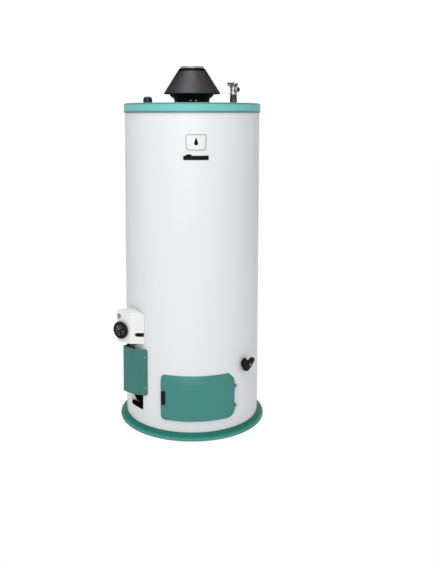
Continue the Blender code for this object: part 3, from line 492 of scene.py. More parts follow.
def fillet(points, radii, n=5, closed=True):
    """Round the corners of a polygon, or of a path, each to its own radius."""
    out, m = [], len(points)
    for i in range(m):
        p = Vector(points[i]).to_2d()
        r = radii[i] if isinstance(radii, (list, tuple)) else radii
        if r <= 0 or (not closed and i in (0, m - 1)):
            out.append((p.x, p.y))
            continue
        a, b = Vector(points[i - 1]).to_2d(), Vector(points[(i + 1) % m]).to_2d()
        u, v = (a - p).normalized(), (b - p).normalized()
        half = 0.5 * math.acos(max(-0.999999, min(0.999999, u.dot(v))))
        if half > math.radians(89.5):
            out.append((p.x, p.y))
            continue
        t = r / math.tan(half)
        lim = 0.495 * min((a - p).length, (b - p).length)
        if t > lim:
            t, r = lim, lim * math.tan(half)
        c = p + (u + v).normalized() * (r / math.sin(half))
        s, e = p + u * t - c, p + v * t - c
        a0, a1 = math.atan2(s.y, s.x), math.atan2(e.y, e.x)
        d = (a1 - a0 + math.pi) % TAU - math.pi
        out += [(c.x + r * math.cos(a0 + d * k / n), c.y + r * math.sin(a0 + d * k / n)) for k in range(n + 1)]
    return out


def sheet_line(path, t):
    """Closed outline of a sheet that follows an open path, t thick to its left."""
    p = [Vector(q).to_2d() for q in path]
    off = []
    for i, q in enumerate(p):
        d0 = (q - p[i - 1]).normalized() if i else None
        d1 = (p[i + 1] - q).normalized() if i < len(p) - 1 else None
        n0 = Vector((-d0.y, d0.x)) if d0 else None
        n1 = Vector((-d1.y, d1.x)) if d1 else None
        if n0 is None:
            off.append(q + n1 * t)
        elif n1 is None:
            off.append(q + n0 * t)
        else:
            b = (n0 + n1).normalized()
            off.append(q + b * (t / max(0.35, b.dot(n1))))
    return [(q.x, q.y) for q in p] + [(q.x, q.y) for q in reversed(off)]


def prism(poly, depth, axis="Z", start=0.0):
    bm = bmesh.new()
    if axis == "Z":
        pts, d = [(p[0], p[1], start) for p in poly], (0, 0, depth)
    elif axis == "Y":
        pts, d = [(p[0], start, p[1]) for p in poly], (0, depth, 0)
    else:
        pts, d = [(start, p[0], p[1]) for p in poly], (depth, 0, 0)
    f = bm.faces.new([bm.verts.new(p) for p in pts])
    ext = bmesh.ops.extrude_face_region(bm, geom=[f])
    bmesh.ops.translate(bm, verts=[g for g in ext["geom"] if isinstance(g, bmesh.types.BMVert)], vec=d)
    bmesh.ops.recalc_face_normals(bm, faces=bm.faces)
    return bm


def along(bm, direction, center=(0, 0, 0)):
    """Lay a piece that was turned about Z along another direction."""
    q = Vector((0, 0, 1)).rotation_difference(Vector(direction).normalized())
    bmesh.ops.transform(bm, matrix=Matrix.Translation(center) @ q.to_matrix().to_4x4(), verts=bm.verts)
    return bm


def rod(p0, p1, r, steps=32):
    a, b = Vector(p0), Vector(p1)
    return along(lathe([(0, 0), (r, 0), (r, (b - a).length), (0, (b - a).length)], steps), b - a, a)


def merge(*parts):
    """Several closed bodies in one bmesh."""
    out = bmesh.new()
    for p in parts:
        me = bpy.data.meshes.new("tmp")
        p.to_mesh(me)
        out.from_mesh(me)
        bpy.data.meshes.remove(me)
        p.free()
    return out


def to_tmp(bm, name):
    bmesh.ops.recalc_face_normals(bm, faces=bm.faces)
    if bm.calc_volume(signed=True) < 0:
        bmesh.ops.reverse_faces(bm, faces=bm.faces)
    me = bpy.data.meshes.new(name)
    bm.to_mesh(me)
    bm.free()
    ob = bpy.data.objects.new(name, me)
    bpy.context.scene.collection.objects.link(ob)
    return ob


def carve(bm, *tools, op="DIFFERENCE"):
    """Exact booleans, one tool after another; returns a new bmesh."""
    ob = to_tmp(bm, "tmp_body")
    obs = [to_tmp(tl, "tmp_tool") for tl in tools]
    for tl in obs:
        md = ob.modifiers.new("cut", "BOOLEAN")
        md.operation = op
        md.solver = "EXACT"
        md.object = tl
    bpy.context.view_layer.update()
    ev = ob.evaluated_get(bpy.context.evaluated_depsgraph_get())
    me = bpy.data.meshes.new_from_object(ev)
    out = bmesh.new()
    out.from_mesh(me)
    for o in [ob, *obs]:
        d = o.data
        bpy.data.objects.remove(o)
        bpy.data.meshes.remove(d)
    bpy.data.meshes.remove(me)
    bmesh.ops.remove_doubles(out, verts=out.verts, dist=1e-4)
    return out


def soften(ob, width, segments=3, angle=32.0):
    """Round a piece's sharp edges with an even bevel."""
    md = ob.modifiers.new("soft_edges", "BEVEL")
    md.width = width * MM
    md.segments = segments
    md.limit_method = "ANGLE"
    md.angle_limit = math.radians(angle)
    md.harden_normals = True
    md.use_clamp_overlap = True
    return ob


def smooth_path(points, per=8):
    p = [Vector(q) for q in points]
    p = [p[0] * 2 - p[1]] + p + [p[-1] * 2 - p[-2]]
    out = []
    for i in range(1, len(p) - 2):
        for k in range(per):
            t = k / per
            out.append(0.5 * ((2 * p[i]) + (p[i + 1] - p[i - 1]) * t
                              + (2 * p[i - 1] - 5 * p[i] + 4 * p[i + 1] - p[i + 2]) * t * t
                              + (3 * p[i] - p[i - 1] - 3 * p[i + 1] + p[i + 2]) * t * t * t))
    out.append(p[-2])
    return out


def pipe(points, r, sides=20):
    """A round tube of constant radius along a path, ends closed."""
    bm = bmesh.new()
    pts = [Vector(q) for q in points]
    ref = Vector((1, 0, 0))
    rings = []
    for i, q in enumerate(pts):
        d = (pts[min(i + 1, len(pts) - 1)] - pts[max(i - 1, 0)]).normalized()
        ref = (ref - d * ref.dot(d)).normalized()
        b = d.cross(ref)
        rings.append([bm.verts.new(q + ref * (r * math.cos(TAU * k / sides)) + b * (r * math.sin(TAU * k / sides)))
                      for k in range(sides)])
    for a, b in zip(rings, rings[1:]):
        for k in range(sides):
            bm.faces.new((a[k], a[(k + 1) % sides], b[(k + 1) % sides], b[k]))
    bm.faces.new(list(reversed(rings[0])))
    bm.faces.new(rings[-1])
    return bm


def hexagon(af, n=1):
    r = af / math.sqrt(3)
    return [(r * math.cos(math.radians(30 + 60 * i)), r * math.sin(math.radians(30 + 60 * i))) for i in range(6)]


def hexhead(af, h, steps=48, chamfer=1.2):
    """A hexagon with chamfered corners, standing on z = 0."""
    body = prism(hexagon(af), h, "Z")
    rr = af / math.sqrt(3)
    lim = lathe([(0, -1), (rr + 1, -1), (rr + 1, h - chamfer * 1.2), (af / 2 * 0.98, h), (0, h)], steps)
    return carve(body, lim, op="INTERSECT")


def screw_head(r, h, slot_w=0.9, kind="cross"):
    """A pan head with a driving recess, standing on z = 0."""
    prof = [(0, 0), (r, 0), (r, h * 0.35)] + [
        (r * math.cos(math.radians(a)) if a < 90 else 0, h * 0.35 + h * 0.65 * math.sin(math.radians(a)))
        for a in range(15, 91, 15)]
    prof[-1] = (0, h)
    bm = lathe(prof, 28)
    if kind == "cross":
        a = prism([(-r * .6, -slot_w / 2), (r * .6, -slot_w / 2), (r * .6, slot_w / 2), (-r * .6, slot_w / 2)], h, "Z", h * .55)
        b = prism([(-slot_w / 2, -r * .6), (slot_w / 2, -r * .6), (slot_w / 2, r * .6), (-slot_w / 2, r * .6)], h * 1.1, "Z", h * .5)
        return carve(bm, a, b)
    return bm


def hex_screw(r, h):
    """A small washer-head sheet metal screw."""
    return merge(lathe([(0, 0), (r * 1.45, 0), (r * 1.45, h * 0.18), (r * 1.3, h * 0.3), (0, h * 0.3)], 28),
                 place(hexhead(r * 1.8, h * 0.7, 24, 0.25), Matrix.Translation((0, 0, h * 0.3))))


R = 230.0
ZP = 1089.0

# ================================================================== base
pan = fillet([(0, 0), (221.4, 0), (222.4, 1.4), (222.4, 19.2), (220.9, 19.2), (220.9, 2.0), (0, 2.0)],
             [0, 0.8, 0.4, 0.6, 0.6, 1.0, 0], 4)
make(lathe(pan, 144), "base_pan_sheet", "galv", body="heater", replaces="base_pan")

ring = fillet([(223.4, 20.4), (223.4, 19.0), (229.4, 19.0), (233.4, 12.4), (242.4, 6.6), (245.6, 0.5), (248.6, 0.0),
               (251.3, 2.4), (251.2, 7.6), (248.0, 10.0), (243.2, 10.2), (236.8, 15.0), (232.6, 21.2), (231.3, 22.6),
               (230.35, 21.8), (230.3, 20.4)],
              [0.3, 0.3, 1.0, 3.0, 3.0, 1.0, 2.2, 2.6, 2.6, 2.4, 3.0, 4.0, 1.6, 0.7, 0.4, 0.3], 5)
make(lathe(ring, 224), "base_ring_flare", "green", body="heater", replaces="base_ring", angle=50)


# ================================================================== jacket
def jacket():
    """The rolled sheet as a grid, left open at the door and the tube window."""
    holes = [(-20.0, 30.0, 68.0, 202.0), (-63.0, -45.0, 70.0, 128.0)]
    azs = sorted({round(-180 + 2.0 * i, 3) for i in range(180)} | {h[0] for h in holes} | {h[1] for h in holes})
    azs = [a for i, a in enumerate(azs) if not any(0.01 < abs(a - e) < 0.7 for h in holes for e in h[:2])]
    zs = sorted({20.9, 21.7, 24.0, 1084.0, 1086.2, 1087.0} | {h[2] for h in holes} | {h[3] for h in holes}
                | {45.0, 66.0, 99.0, 126.0, 150.0, 175.0, 206.0} | {float(z) for z in range(240, 1080, 40)})
    n = len(azs)
    bm = bmesh.new()
    t = 1.3
    out = [[bm.verts.new(polar(a, R, z)) for a in azs] for z in zs]
    inn = [[bm.verts.new(polar(a, R - t, z)) for a in azs] for z in zs]

    def solid(i, k):
        a, b = azs[i], azs[(i + 1) % n]
        if b < a:
            b += 360
        ma, mz = (a + b) / 2, (zs[k] + zs[k + 1]) / 2
        return not any(h[0] < ma < h[1] and h[2] < mz < h[3] for h in holes)

    m = len(zs) - 1
    for k in range(m):
        for i in range(n):
            if not solid(i, k):
                continue
            j = (i + 1) % n
            bm.faces.new((out[k][i], out[k][j], out[k + 1][j], out[k + 1][i]))
            bm.faces.new((inn[k][j], inn[k][i], inn[k + 1][i], inn[k + 1][j]))
            if k == 0 or not solid(i, k - 1):
                bm.faces.new((out[k][j], out[k][i], inn[k][i], inn[k][j]))
            if k == m - 1 or not solid(i, k + 1):
                bm.faces.new((out[k + 1][i], out[k + 1][j], inn[k + 1][j], inn[k + 1][i]))
            if not solid((i - 1) % n, k):
                bm.faces.new((out[k][i], out[k + 1][i], inn[k + 1][i], inn[k][i]))
            if not solid((i + 1) % n, k):
                bm.faces.new((out[k + 1][j], out[k][j], inn[k][j], inn[k + 1][j]))
    return bm


make(jacket(), "jacket_shell", "jacket", body="heater", replaces="outer_jacket", angle=50)

# the lap seam down the back, with its screws
seam = fillet([(-9.0, 0), (9.0, 0), (9.0, 1.0), (7.6, 1.5), (-9.0, 1.5)], [0, 0, 0.3, 0.5, 0.3], 3)
sm = bmesh.new()
sm.free()
lap = prism([(x, -R - 0.05 - y) for x, y in seam], 1032.0, "Z", 24.0)
place(lap, turn(180.0))
make(lap, "jacket_lap_seam", "jacket", body="heater", angle=30)
for i in range(6):
    b = along(hex_screw(2.3, 2.4), polar(180, 1), polar(180, R + 1.4, 90 + 190 * i))
    make(b, "seam_screw_%d" % (i + 1), "steel", body="heater", angle=30)

# ================================================================== top pan
rim = fillet([(47.0, ZP - 1.5), (228.0, ZP - 1.5), (231.5, ZP - 4.4), (231.5, 1059.0), (231.3, 1057.2), (232.2, 1056.9),
              (233.3, 1057.6), (233.5, 1060.2), (233.0, 1062.2), (233.0, ZP - 4.2), (229.6, ZP), (214.0, ZP),
              (211.0, ZP - 0.7), (47.0, ZP - 0.7)],
             [0.2, 2.0, 2.0, 0.3, 0.3, 0.6, 0.9, 1.2, 1.5, 4.2, 3.6, 2.0, 2.0, 0.3], 6)
rimb = lathe(rim, 224)
tools = [rod((x, y, ZP - 14), (x, y, ZP + 14), rr, 40) for x, y, rr in
         ((-152, 0, 14.4), (31, 147, 14.4), (-33, 146.5, 14.0), (141.5, 0, 13.4))]
make(carve(rimb, *tools), "top_pan_lid", "pan", body="heater", replaces="top_pan", angle=28)


def grommet(name, x, y, r):
    prof = fillet([(r, ZP - 2.6), (r + 4.4, ZP - 0.6), (r + 4.4, ZP + 0.3), (r + 2.4, ZP + 0.7), (r, ZP + 0.6)],
                  [0.2, 0.4, 0.5, 0.6, 0.3], 3)
    b = lathe(prof, 48)
    place(b, Matrix.Translation((x, y, 0)))
    make(b, name, "rubber", body="heater", angle=60)


grommet("relief_grommet", 141.5, 0, 12.35)
grommet("anode_grommet", -33, 146.5, 13.1)

# ================================================================== draft hood
neck = sheet_line(fillet([(50.0, ZP + 0.4), (59.4, ZP + 0.4), (59.6, ZP + 13.0), (61.6, ZP + 18.0), (70.8, ZP + 24.8),
                          (74.4, ZP + 30.4), (76.6, ZP + 38.0)], [0, 1.6, 6.0, 8.0, 8.0, 8.0, 0], 6, closed=False), 1.2)
make(lathe(neck, 128), "draft_hood_neck_sheet", "hood_black", body="heater", replaces="draft_hood_neck", angle=40)

cone = sheet_line(fillet([(94.9, ZP + 31.7), (96.7, ZP + 32.6), (96.6, ZP + 35.6), (93.6, ZP + 39.0), (47.6, ZP + 112.0),
                          (43.6, ZP + 117.4), (41.0, ZP + 117.8)], [0, 1.0, 1.4, 5.0, 7.0, 2.0, 0], 6, closed=False), 1.3)
make(lathe(cone, 160), "draft_hood_cone_sheet", "hood", body="heater", replaces="draft_hood_cone", angle=40)

collar = fillet([(38.6, ZP + 104.0), (43.8, ZP + 104.0), (43.8, ZP + 105.2), (40.2, ZP + 105.6), (40.2, ZP + 124.5),
                 (38.6, ZP + 124.5)], [0.2, 0.4, 0.4, 1.2, 0.6, 0.6], 4)
make(lathe(collar, 112), "flue_collar_ring", "collar", body="heater", replaces="flue_collar", angle=40)

leg = fillet([(61.3, ZP + 4.0), (61.3, ZP + 11.8), (62.6, ZP + 15.4), (66.4, ZP + 19.6), (73.4, ZP + 24.0),
              (77.0, ZP + 29.0), (83.2, ZP + 49.4)], [0, 4, 4, 4, 4, 6, 0], 4, closed=False)
for n_, az in enumerate((4.0, 124.0, 244.0)):
    b = spin_part(sheet_line(list(reversed(leg)), 1.5), az - 14.0, az + 14.0, 14)
    o = make(b, "draft_hood_leg_strap_%d" % (n_ + 1), "hood_black", body="heater",
             replaces="draft_hood_leg_%d" % (n_ + 1), angle=30)
    soften(o, 0.35, 2)
    for s_, da in enumerate((-8.6, 8.6)):
        rv = along(lathe([(0, 0), (2.6, 0), (2.6, 0.5), (2.2, 1.3), (1.2, 1.8), (0, 2.0)], 24), polar(az + da, 1),
                   polar(az + da, 62.6, ZP + 8.6))
        make(rv, "leg_rivet_%d_%d" % (n_ + 1, s_ + 1), "alu", body="heater", angle=40)
# rivets that hold the collar to the cone
for n_ in range(4):
    az = 45 + 90 * n_
    rv = lathe([(0, 0), (2.4, 0), (2.4, 0.4), (1.9, 1.1), (0, 1.6)], 20)
    place(rv, Matrix.Translation(polar(az, 41.9, ZP + 117.6)))
    make(rv, "collar_rivet_%d" % (n_ + 1), "collar", body="heater", angle=40)


# ================================================================== water fittings
def threads(r, z0, z1, pitch, depth, ri, chamfer=1.4):
    """A pipe end with thread crests as rings."""
    out = [(ri, z0), (r - chamfer, z0), (r - depth, z0 + chamfer)]
    z = z0 + chamfer + pitch * 0.3
    while z + pitch < z1 - chamfer:
        out += [(r - depth, z), (r, z + pitch * 0.35), (r, z + pitch * 0.5), (r - depth, z + pitch * 0.85)]
        z += pitch
    out += [(r - depth, z1 - chamfer), (r - chamfer - depth, z1), (ri, z1)]
    return out


def nipple(name, node, x, y):
    prof = [(10.6, 1026.0), (12.2, 1026.0), (13.2, 1027.2), (13.2, 1088.0)] + \
        [p for p in threads(13.2, 1088.0, 1107.0, 1.81, 0.95, 10.6)[2:]]
    b = lathe(prof, 56)
    place(b, Matrix.Translation((x, y, 0)))
    make(b, name, "steel", body="heater", replaces=node, angle=50)


nipple("cold_nipple_threaded", "cold_inlet_nipple", -152, 0)
nipple("hot_nipple_threaded", "hot_outlet_nipple", 31, 147)


def pipe_cap(name, node, x, y, body):
    outer = fillet([(13.6, 1089.4), (15.4, 1089.4), (15.6, 1091.6), (15.1, 1092.6), (15.2, 1104.6), (12.6, 1110.2),
                    (7.0, 1112.0), (0, 1112.3)], [0.2, 0.5, 0.5, 0.3, 4.0, 5.0, 6.0, 0], 6, closed=False)
    inner = [(0, 1109.5), (12.4, 1109.5), (13.6, 1108.2)]
    b = lathe(inner + outer, 72)
    place(b, Matrix.Translation((x, y, 0)))
    make(b, name, "cap", body=body, replaces=node, angle=50)
    # shallow grip ribs round the skirt
    ribs = []
    for i in range(24):
        a = TAU * i / 24
        rb_ = prism(fillet([(-0.55, -0.9), (0.55, -0.9), (0.55, 0.0), (-0.55, 0.0)], 0.25, 2), 9.0, "Z", 1093.6)
        place(rb_, Matrix.Translation((x, y, 0)) @ Matrix.Rotation(a, 4, "Z") @ Matrix.Translation((0, -14.75, 0)))
        ribs.append(rb_)
    make(merge(*ribs), name + "_ribs", "cap", body=body, angle=40, flip_check=False)


pipe_cap("cold_cap_domed", "cold_inlet_cap", -152, 0, "cold_cap")
pipe_cap("hot_cap_domed", "hot_outlet_cap", 31, 147, "hot_cap")

b = merge(lathe(fillet([(0, 520), (9.0, 520), (10.0, 523), (10.0, 1028), (13.0, 1030), (13.0, 1089.8), (0, 1089.8)],
                       [0, 1, 1, 1, 1, 0.3, 0], 3), 40),
          place(hexhead(25.4, 10.6, 48, 1.4), Matrix.Translation((0, 0, 1090.0))))
place(b, Matrix.Translation((-33, 146.5, 0)))
make(b, "anode_rod_hex", "anode", body="heater", replaces="anode_rod", angle=30)

# ================================================================== relief valve
rx, ry = 141.5, 0.0
TR = Matrix.Translation((rx, ry, 0))
prof = [(9.2, 1026.0), (12.3, 1026.0), (12.3, 1104.0)] + threads(12.3, 1102.6, 1118.2, 1.81, 0.8, 9.2)[2:]
make(place(lathe(prof, 56), TR), "relief_nipple_threaded", "bronze", body="heater",
     replaces="relief_nipple", angle=50)

out_dir = Vector((math.cos(math.radians(-45)), math.sin(math.radians(-45)), 0))
core = fillet([(0, 1124.6), (7.6, 1124.6), (7.6, 1118.6), (12.0, 1118.6), (12.0, 1124.8), (10.4, 1126.6), (10.4, 1129.8),
               (11.4, 1132.0), (11.4, 1141.0), (12.8, 1143.0), (12.8, 1145.8), (12.0, 1146.8), (0, 1146.8)],
              [0, 0, 0.3, 0.6, 0.6, 0.8, 0.8, 1.4, 0.8, 0.6, 0.5, 0.5, 0], 4)
body_ = place(lathe(core, 64), TR)
portb = along(lathe(fillet([(0, 2.3), (8.2, 2.3), (8.2, 12.4), (9.3, 13.8), (9.3, 15.0)], [0, 0, 1, 0.5, 0], 3, closed=False)
                    + [p for p in ((8.9, 15.6), (8.9, 16.4), (9.3, 16.9), (9.3, 17.3), (8.9, 17.8), (8.9, 18.4), (9.3, 18.9),
                                   (9.3, 19.3), (8.9, 19.8), (8.9, 20.4), (9.3, 20.9), (9.3, 21.4), (8.7, 22.0), (0, 22.0))], 56),
              out_dir, (rx, ry, 1135.8))
bore = rod(Vector((rx, ry, 1135.8)) + out_dir * 1.1, Vector((rx, ry, 1135.8)) + out_dir * 40, 6.4, 40)
body_ = carve(body_, portb, op="UNION")
body_ = carve(body_, bore)
make(body_, "relief_valve_casting", "chrome", body="heater", replaces="relief_valve_body", angle=40)
# the valve disc, with a thin dark sleeve in the bore as painted shade
bl = along(lathe([(0, 3.4), (6.2, 3.4), (6.2, 20.6), (5.9, 20.6), (5.9, 4.2), (0, 4.2)], 40), out_dir, (rx, ry, 1135.8))
make(bl, "relief_outlet_shade_sleeve", "iron", body="heater", angle=40)
hx = place(hexhead(22.4, 6.2, 48, 0.8), Matrix.Translation((rx, ry, 1118.8)) @ Matrix.Rotation(0.3, 4, "Z"))
hx = carve(hx, rod((rx, ry, 1110), (rx, ry, 1130), 10.6, 48))
make(hx, "relief_valve_hex", "tarnish", body="heater", angle=30)


def knurled(r, z0, z1, teeth, depth, cap):
    """A fluted round body with a chamfered top."""
    bm = bmesh.new()
    n = teeth * 4
    levels = [(z0, 0.94), (z0 + 0.6, 1.0), (z1 - 0.9, 1.0), (z1, 0.92)]
    rings = []
    for z, k in levels:
        ring_ = []
        for i in range(n):
            rr = (r - (depth if i % 4 in (2, 3) else 0.0)) * k
            ring_.append(bm.verts.new((rr * math.cos(TAU * i / n), rr * math.sin(TAU * i / n), z)))
        rings.append(ring_)
    for a, b_ in zip(rings, rings[1:]):
        for i in range(n):
            bm.faces.new((a[i], a[(i + 1) % n], b_[(i + 1) % n], b_[i]))
    bm.faces.new(list(reversed(rings[0])))
    bm.faces.new(rings[-1])
    return bm


bon = merge(knurled(15.4, 1147.6, 1152.8, 40, 0.6, 0),
            lathe(fillet([(0, 1147.2), (13.0, 1147.2), (13.0, 1148.0), (0, 1148.0)], [0, 0.3, 0.2, 0], 2), 40),
            lathe(fillet([(0, 1152.6), (13.6, 1152.6), (12.8, 1153.7), (5.2, 1154.3), (4.0, 1155.0), (2.6, 1156.2),
                          (2.4, 1161.6), (1.6, 1162.8), (0, 1162.8)], [0, 0.3, 0.8, 1.0, 1.0, 0.8, 0.6, 0.5, 0], 4), 40))
make(place(bon, TR), "relief_bonnet_knurled", "knurl", body="heater", replaces="relief_valve_bonnet", angle=30)

# the lift lever: a forked strap that straddles the stem, its free end turned down as a finger tab
fork = fillet([(-15.0, -4.8), (1.6, -5.4), (1.6, -3.1), (-7.2, -3.1), (-7.2, 3.1), (1.6, 3.1), (1.6, 5.4), (-15.0, 4.8)],
              [0, 1.0, 0.6, 2.4, 2.4, 0.6, 1.0, 0], 6)
lv = prism(fork, 2.6, "Z", 1156.9)
tabl = sheet_line(fillet([(-18.2, 1148.7), (-18.4, 1157.9), (-14.6, 1159.5)], [0, 3.4, 0], 6, closed=False), 2.6)
lo_ = min(q_[1] for q_ in tabl)
tabp = prism([(q_[0], q_[1]) for q_ in tabl], 9.4, "Y", -4.7)
lv = carve(lv, tabp, op="UNION")
web = prism(fillet([(-18.0, 1149.6), (-16.3, 1149.6), (-16.0, 1154.2), (-14.2, 1155.0), (-14.2, 1158.6), (-18.0, 1157.4)],
                   [0, 0.4, 0.8, 0.4, 0, 0.8], 4), 8.2, "Y", -4.1)
lv = carve(lv, web, op="UNION")
lv = carve(lv, rod((-12.4, 0, 1150), (-12.4, 0, 1175), 1.5, 20))
for y_ in (-5.35, 4.35):
    fl_ = prism(fillet([(-17.0, 1154.3), (-3.0, 1154.3), (-1.6, 1156.4), (-1.6, 1159.2), (-17.0, 1159.2)],
                       [1.2, 1.6, 0.6, 0.4, 1.0], 4), 1.0, "Y", y_)
    lv = carve(lv, fl_, op="UNION")
o = make(place(lv, TR), "relief_lever_forked", "lever", body="relief_lever", replaces="relief_valve_lever", angle=30)
soften(o, 0.45, 3)
lug = prism(fillet([(6.4, 1152.9), (15.0, 1152.9), (15.0, 1157.0), (12.6, 1159.0), (7.6, 1159.0), (6.4, 1157.6)],
                   [0.3, 0.6, 1.2, 1.8, 1.4, 0.8], 5), 8.4, "Y", -4.2)
lug = carve(lug, rod((10.8, -6, 1156.2), (10.8, 6, 1156.2), 1.2, 20))
o = make(place(lug, TR), "relief_bonnet_lug", "lever", body="heater", angle=30)
soften(o, 0.4, 3)
pin_ = rod((rx, ry - 5.9, 1158.2), (rx, ry + 5.9, 1158.2), 1.0, 20)
make(pin_, "relief_lever_pin", "steel", body="relief_lever", angle=30)

# ================================================================== sheets wrapped on the tank
k_ = math.radians(1.0)


def curved(outline, r_in, t_, step=2.0, rings=()):
    """A flat outline in (degrees, z), wrapped on the tank as a sheet."""
    bm = bmesh.new()
    kk = k_ * r_in
    f_ = bm.faces.new([bm.verts.new((x_ * kk, 0.0, z_)) for x_, z_ in outline])
    ext = bmesh.ops.extrude_face_region(bm, geom=[f_])
    bmesh.ops.translate(bm, verts=[q_ for q_ in ext["geom"] if isinstance(q_, bmesh.types.BMVert)], vec=(0, 1, 0))
    lo_, hi_ = min(p_[0] for p_ in outline), max(p_[0] for p_ in outline)
    x_ = lo_ + step * 0.51
    while x_ < hi_:
        bmesh.ops.bisect_plane(bm, geom=bm.verts[:] + bm.edges[:] + bm.faces[:], plane_co=(x_ * kk, 0, 0), plane_no=(1, 0, 0))
        x_ += step
    for v_ in bm.verts:
        v_.co = polar(v_.co.x / kk, r_in + (t_ if v_.co.y > 0.5 else 0.0), v_.co.z)
    return bm


# ================================================================== gas control
AZ = -56.0
MC = turn(AZ)


def L(x, y, z):
    return MC @ Vector((x, y, z))


W, ZB, ZS, ZA = 60.0, 298.0, 380.5, 405.5
PLAN = [(52.5, -222.5), (25.4, -262.7), (-30.2, -284.4), (-54.0, -222.0)]
AF, UD, VF = -35.0, -106.0, 254.6
UB, ZBUT = -118.5, 384.5


def face(u, v, z):
    """A point by its place along the dial's face, its distance out and its height."""
    return Matrix.Rotation(math.radians(AF), 3, "Z") @ Vector((u, -v, z))


def vault(w_, zb, zs, za, n=56):
    top = [(w_ * math.cos(math.pi * i_ / n), zs + (za - zs) * math.sin(math.pi * i_ / n)) for i_ in range(n + 1)]
    return [(-w_, zb), (w_, zb)] + top


def inset_plan(d):
    """The plan's three outer walls moved inwards by d, its back run on into the tank."""
    p_ = [Vector(q_) for q_ in PLAN]
    walls = []
    for a_, b_ in zip(p_, p_[1:]):
        u_ = (b_ - a_).normalized()
        walls.append((a_ + Vector((u_.y, -u_.x)) * d, u_, (b_ - a_).length))

    def meet(f_, g_):
        (a_, u_, _), (b_, v_, _) = f_, g_
        return a_ + u_ * (((b_.x - a_.x) * v_.y - (b_.y - a_.y) * v_.x) / (u_.x * v_.y - u_.y * v_.x))

    first = walls[0][0] - walls[0][1] * 22.0
    last = walls[2][0] + walls[2][1] * (walls[2][2] + 22.0)
    pts_ = [first, meet(walls[0], walls[1]), meet(walls[1], walls[2]), last]
    return [(q_.x, q_.y) for q_ in pts_]


cov = prism(vault(W, ZB, ZS, ZA), 110.0, "Y", -305.0)
cov = carve(cov, prism(fillet(inset_plan(0.0), [0, 5.0, 5.0, 0], 8), 130.0, "Z", 290.0), op="INTERSECT")
place(cov, MC)
inner = carve(prism(vault(W - 2.2, ZB + 2.2, ZS - 0.6, ZA - 2.2), 114.0, "Y", -307.0),
              prism(fillet(inset_plan(2.3), [0, 3.0, 3.0, 0], 6), 134.0, "Z", 288.0), op="INTERSECT")
place(inner, MC)
back = lathe([(0, 250), (R + 0.45, 250), (R + 0.45, 450), (0, 450)], 240)
slotp = place(prism(fillet([(32.0, 321.2), (70.0, 321.2), (70.0, 334.4), (32.0, 334.4)], [6.2, 0, 0, 6.2], 8), 60.0, "Y", -262.0), MC)
under = place(prism(fillet([(-27.0, -260.0), (15.0, -260.0), (15.0, -215.0), (-27.0, -215.0)], [4, 4, 0, 0], 5), 20.0, "Z", ZB - 10), MC)
hole_s = rod(face(UD, 247, 340), face(UD, 270, 340), 7.0, 40)
hole_b = rod(face(UB, 247, ZBUT), face(UB, 270, ZBUT), 6.2, 40)
cov = carve(cov, inner, back, slotp, under, hole_s, hole_b)
o = make(cov, "gas_control_housing", "cover", body="heater", replaces="gas_control_cover", angle=30)
soften(o, 1.5, 4, 40)

body_ = prism(fillet([(-33, 306), (24, 306), (24, 372), (-33, 372)], 6.0, 5), 20.0, "Y", -257.0)
place(body_, MC)
body_ = carve(body_, rod(L(0, -244, 340), L(0, -220, 340), 8.4, 32), rod(face(UD, 228, 340), face(UD, 262, 340), 6.2, 32),
              rod(L(18, -243.5, 327.8), L(50, -243.5, 327.8), 4.6, 24))
o = make(body_, "gas_valve_casting", "cast", body="heater", replaces="gas_valve_body", angle=30)
soften(o, 1.0, 3)

pt = along(hexhead(10.8, 5.5, 40, 0.8), (1, 0, 0), (24.5, -243.5, 327.8))
pt = place(pt, MC)
pt = carve(pt, rod(L(10, -243.5, 327.8), L(60, -243.5, 327.8), 3.9, 32))
make(pt, "gas_inlet_nut", "tarnish", body="heater", replaces="gas_inlet_port", angle=30)


# a dark sheet on the jacket behind the slot, as the painted shade seen through the slot
sheet_ = curved([(-71.0, 302.0), (-43.6, 302.0), (-43.6, 378.0), (-71.0, 378.0)], R + 0.12, 0.25, 1.0)
make(sheet_, "slot_shade_sheet", "iron", body="heater", angle=30)


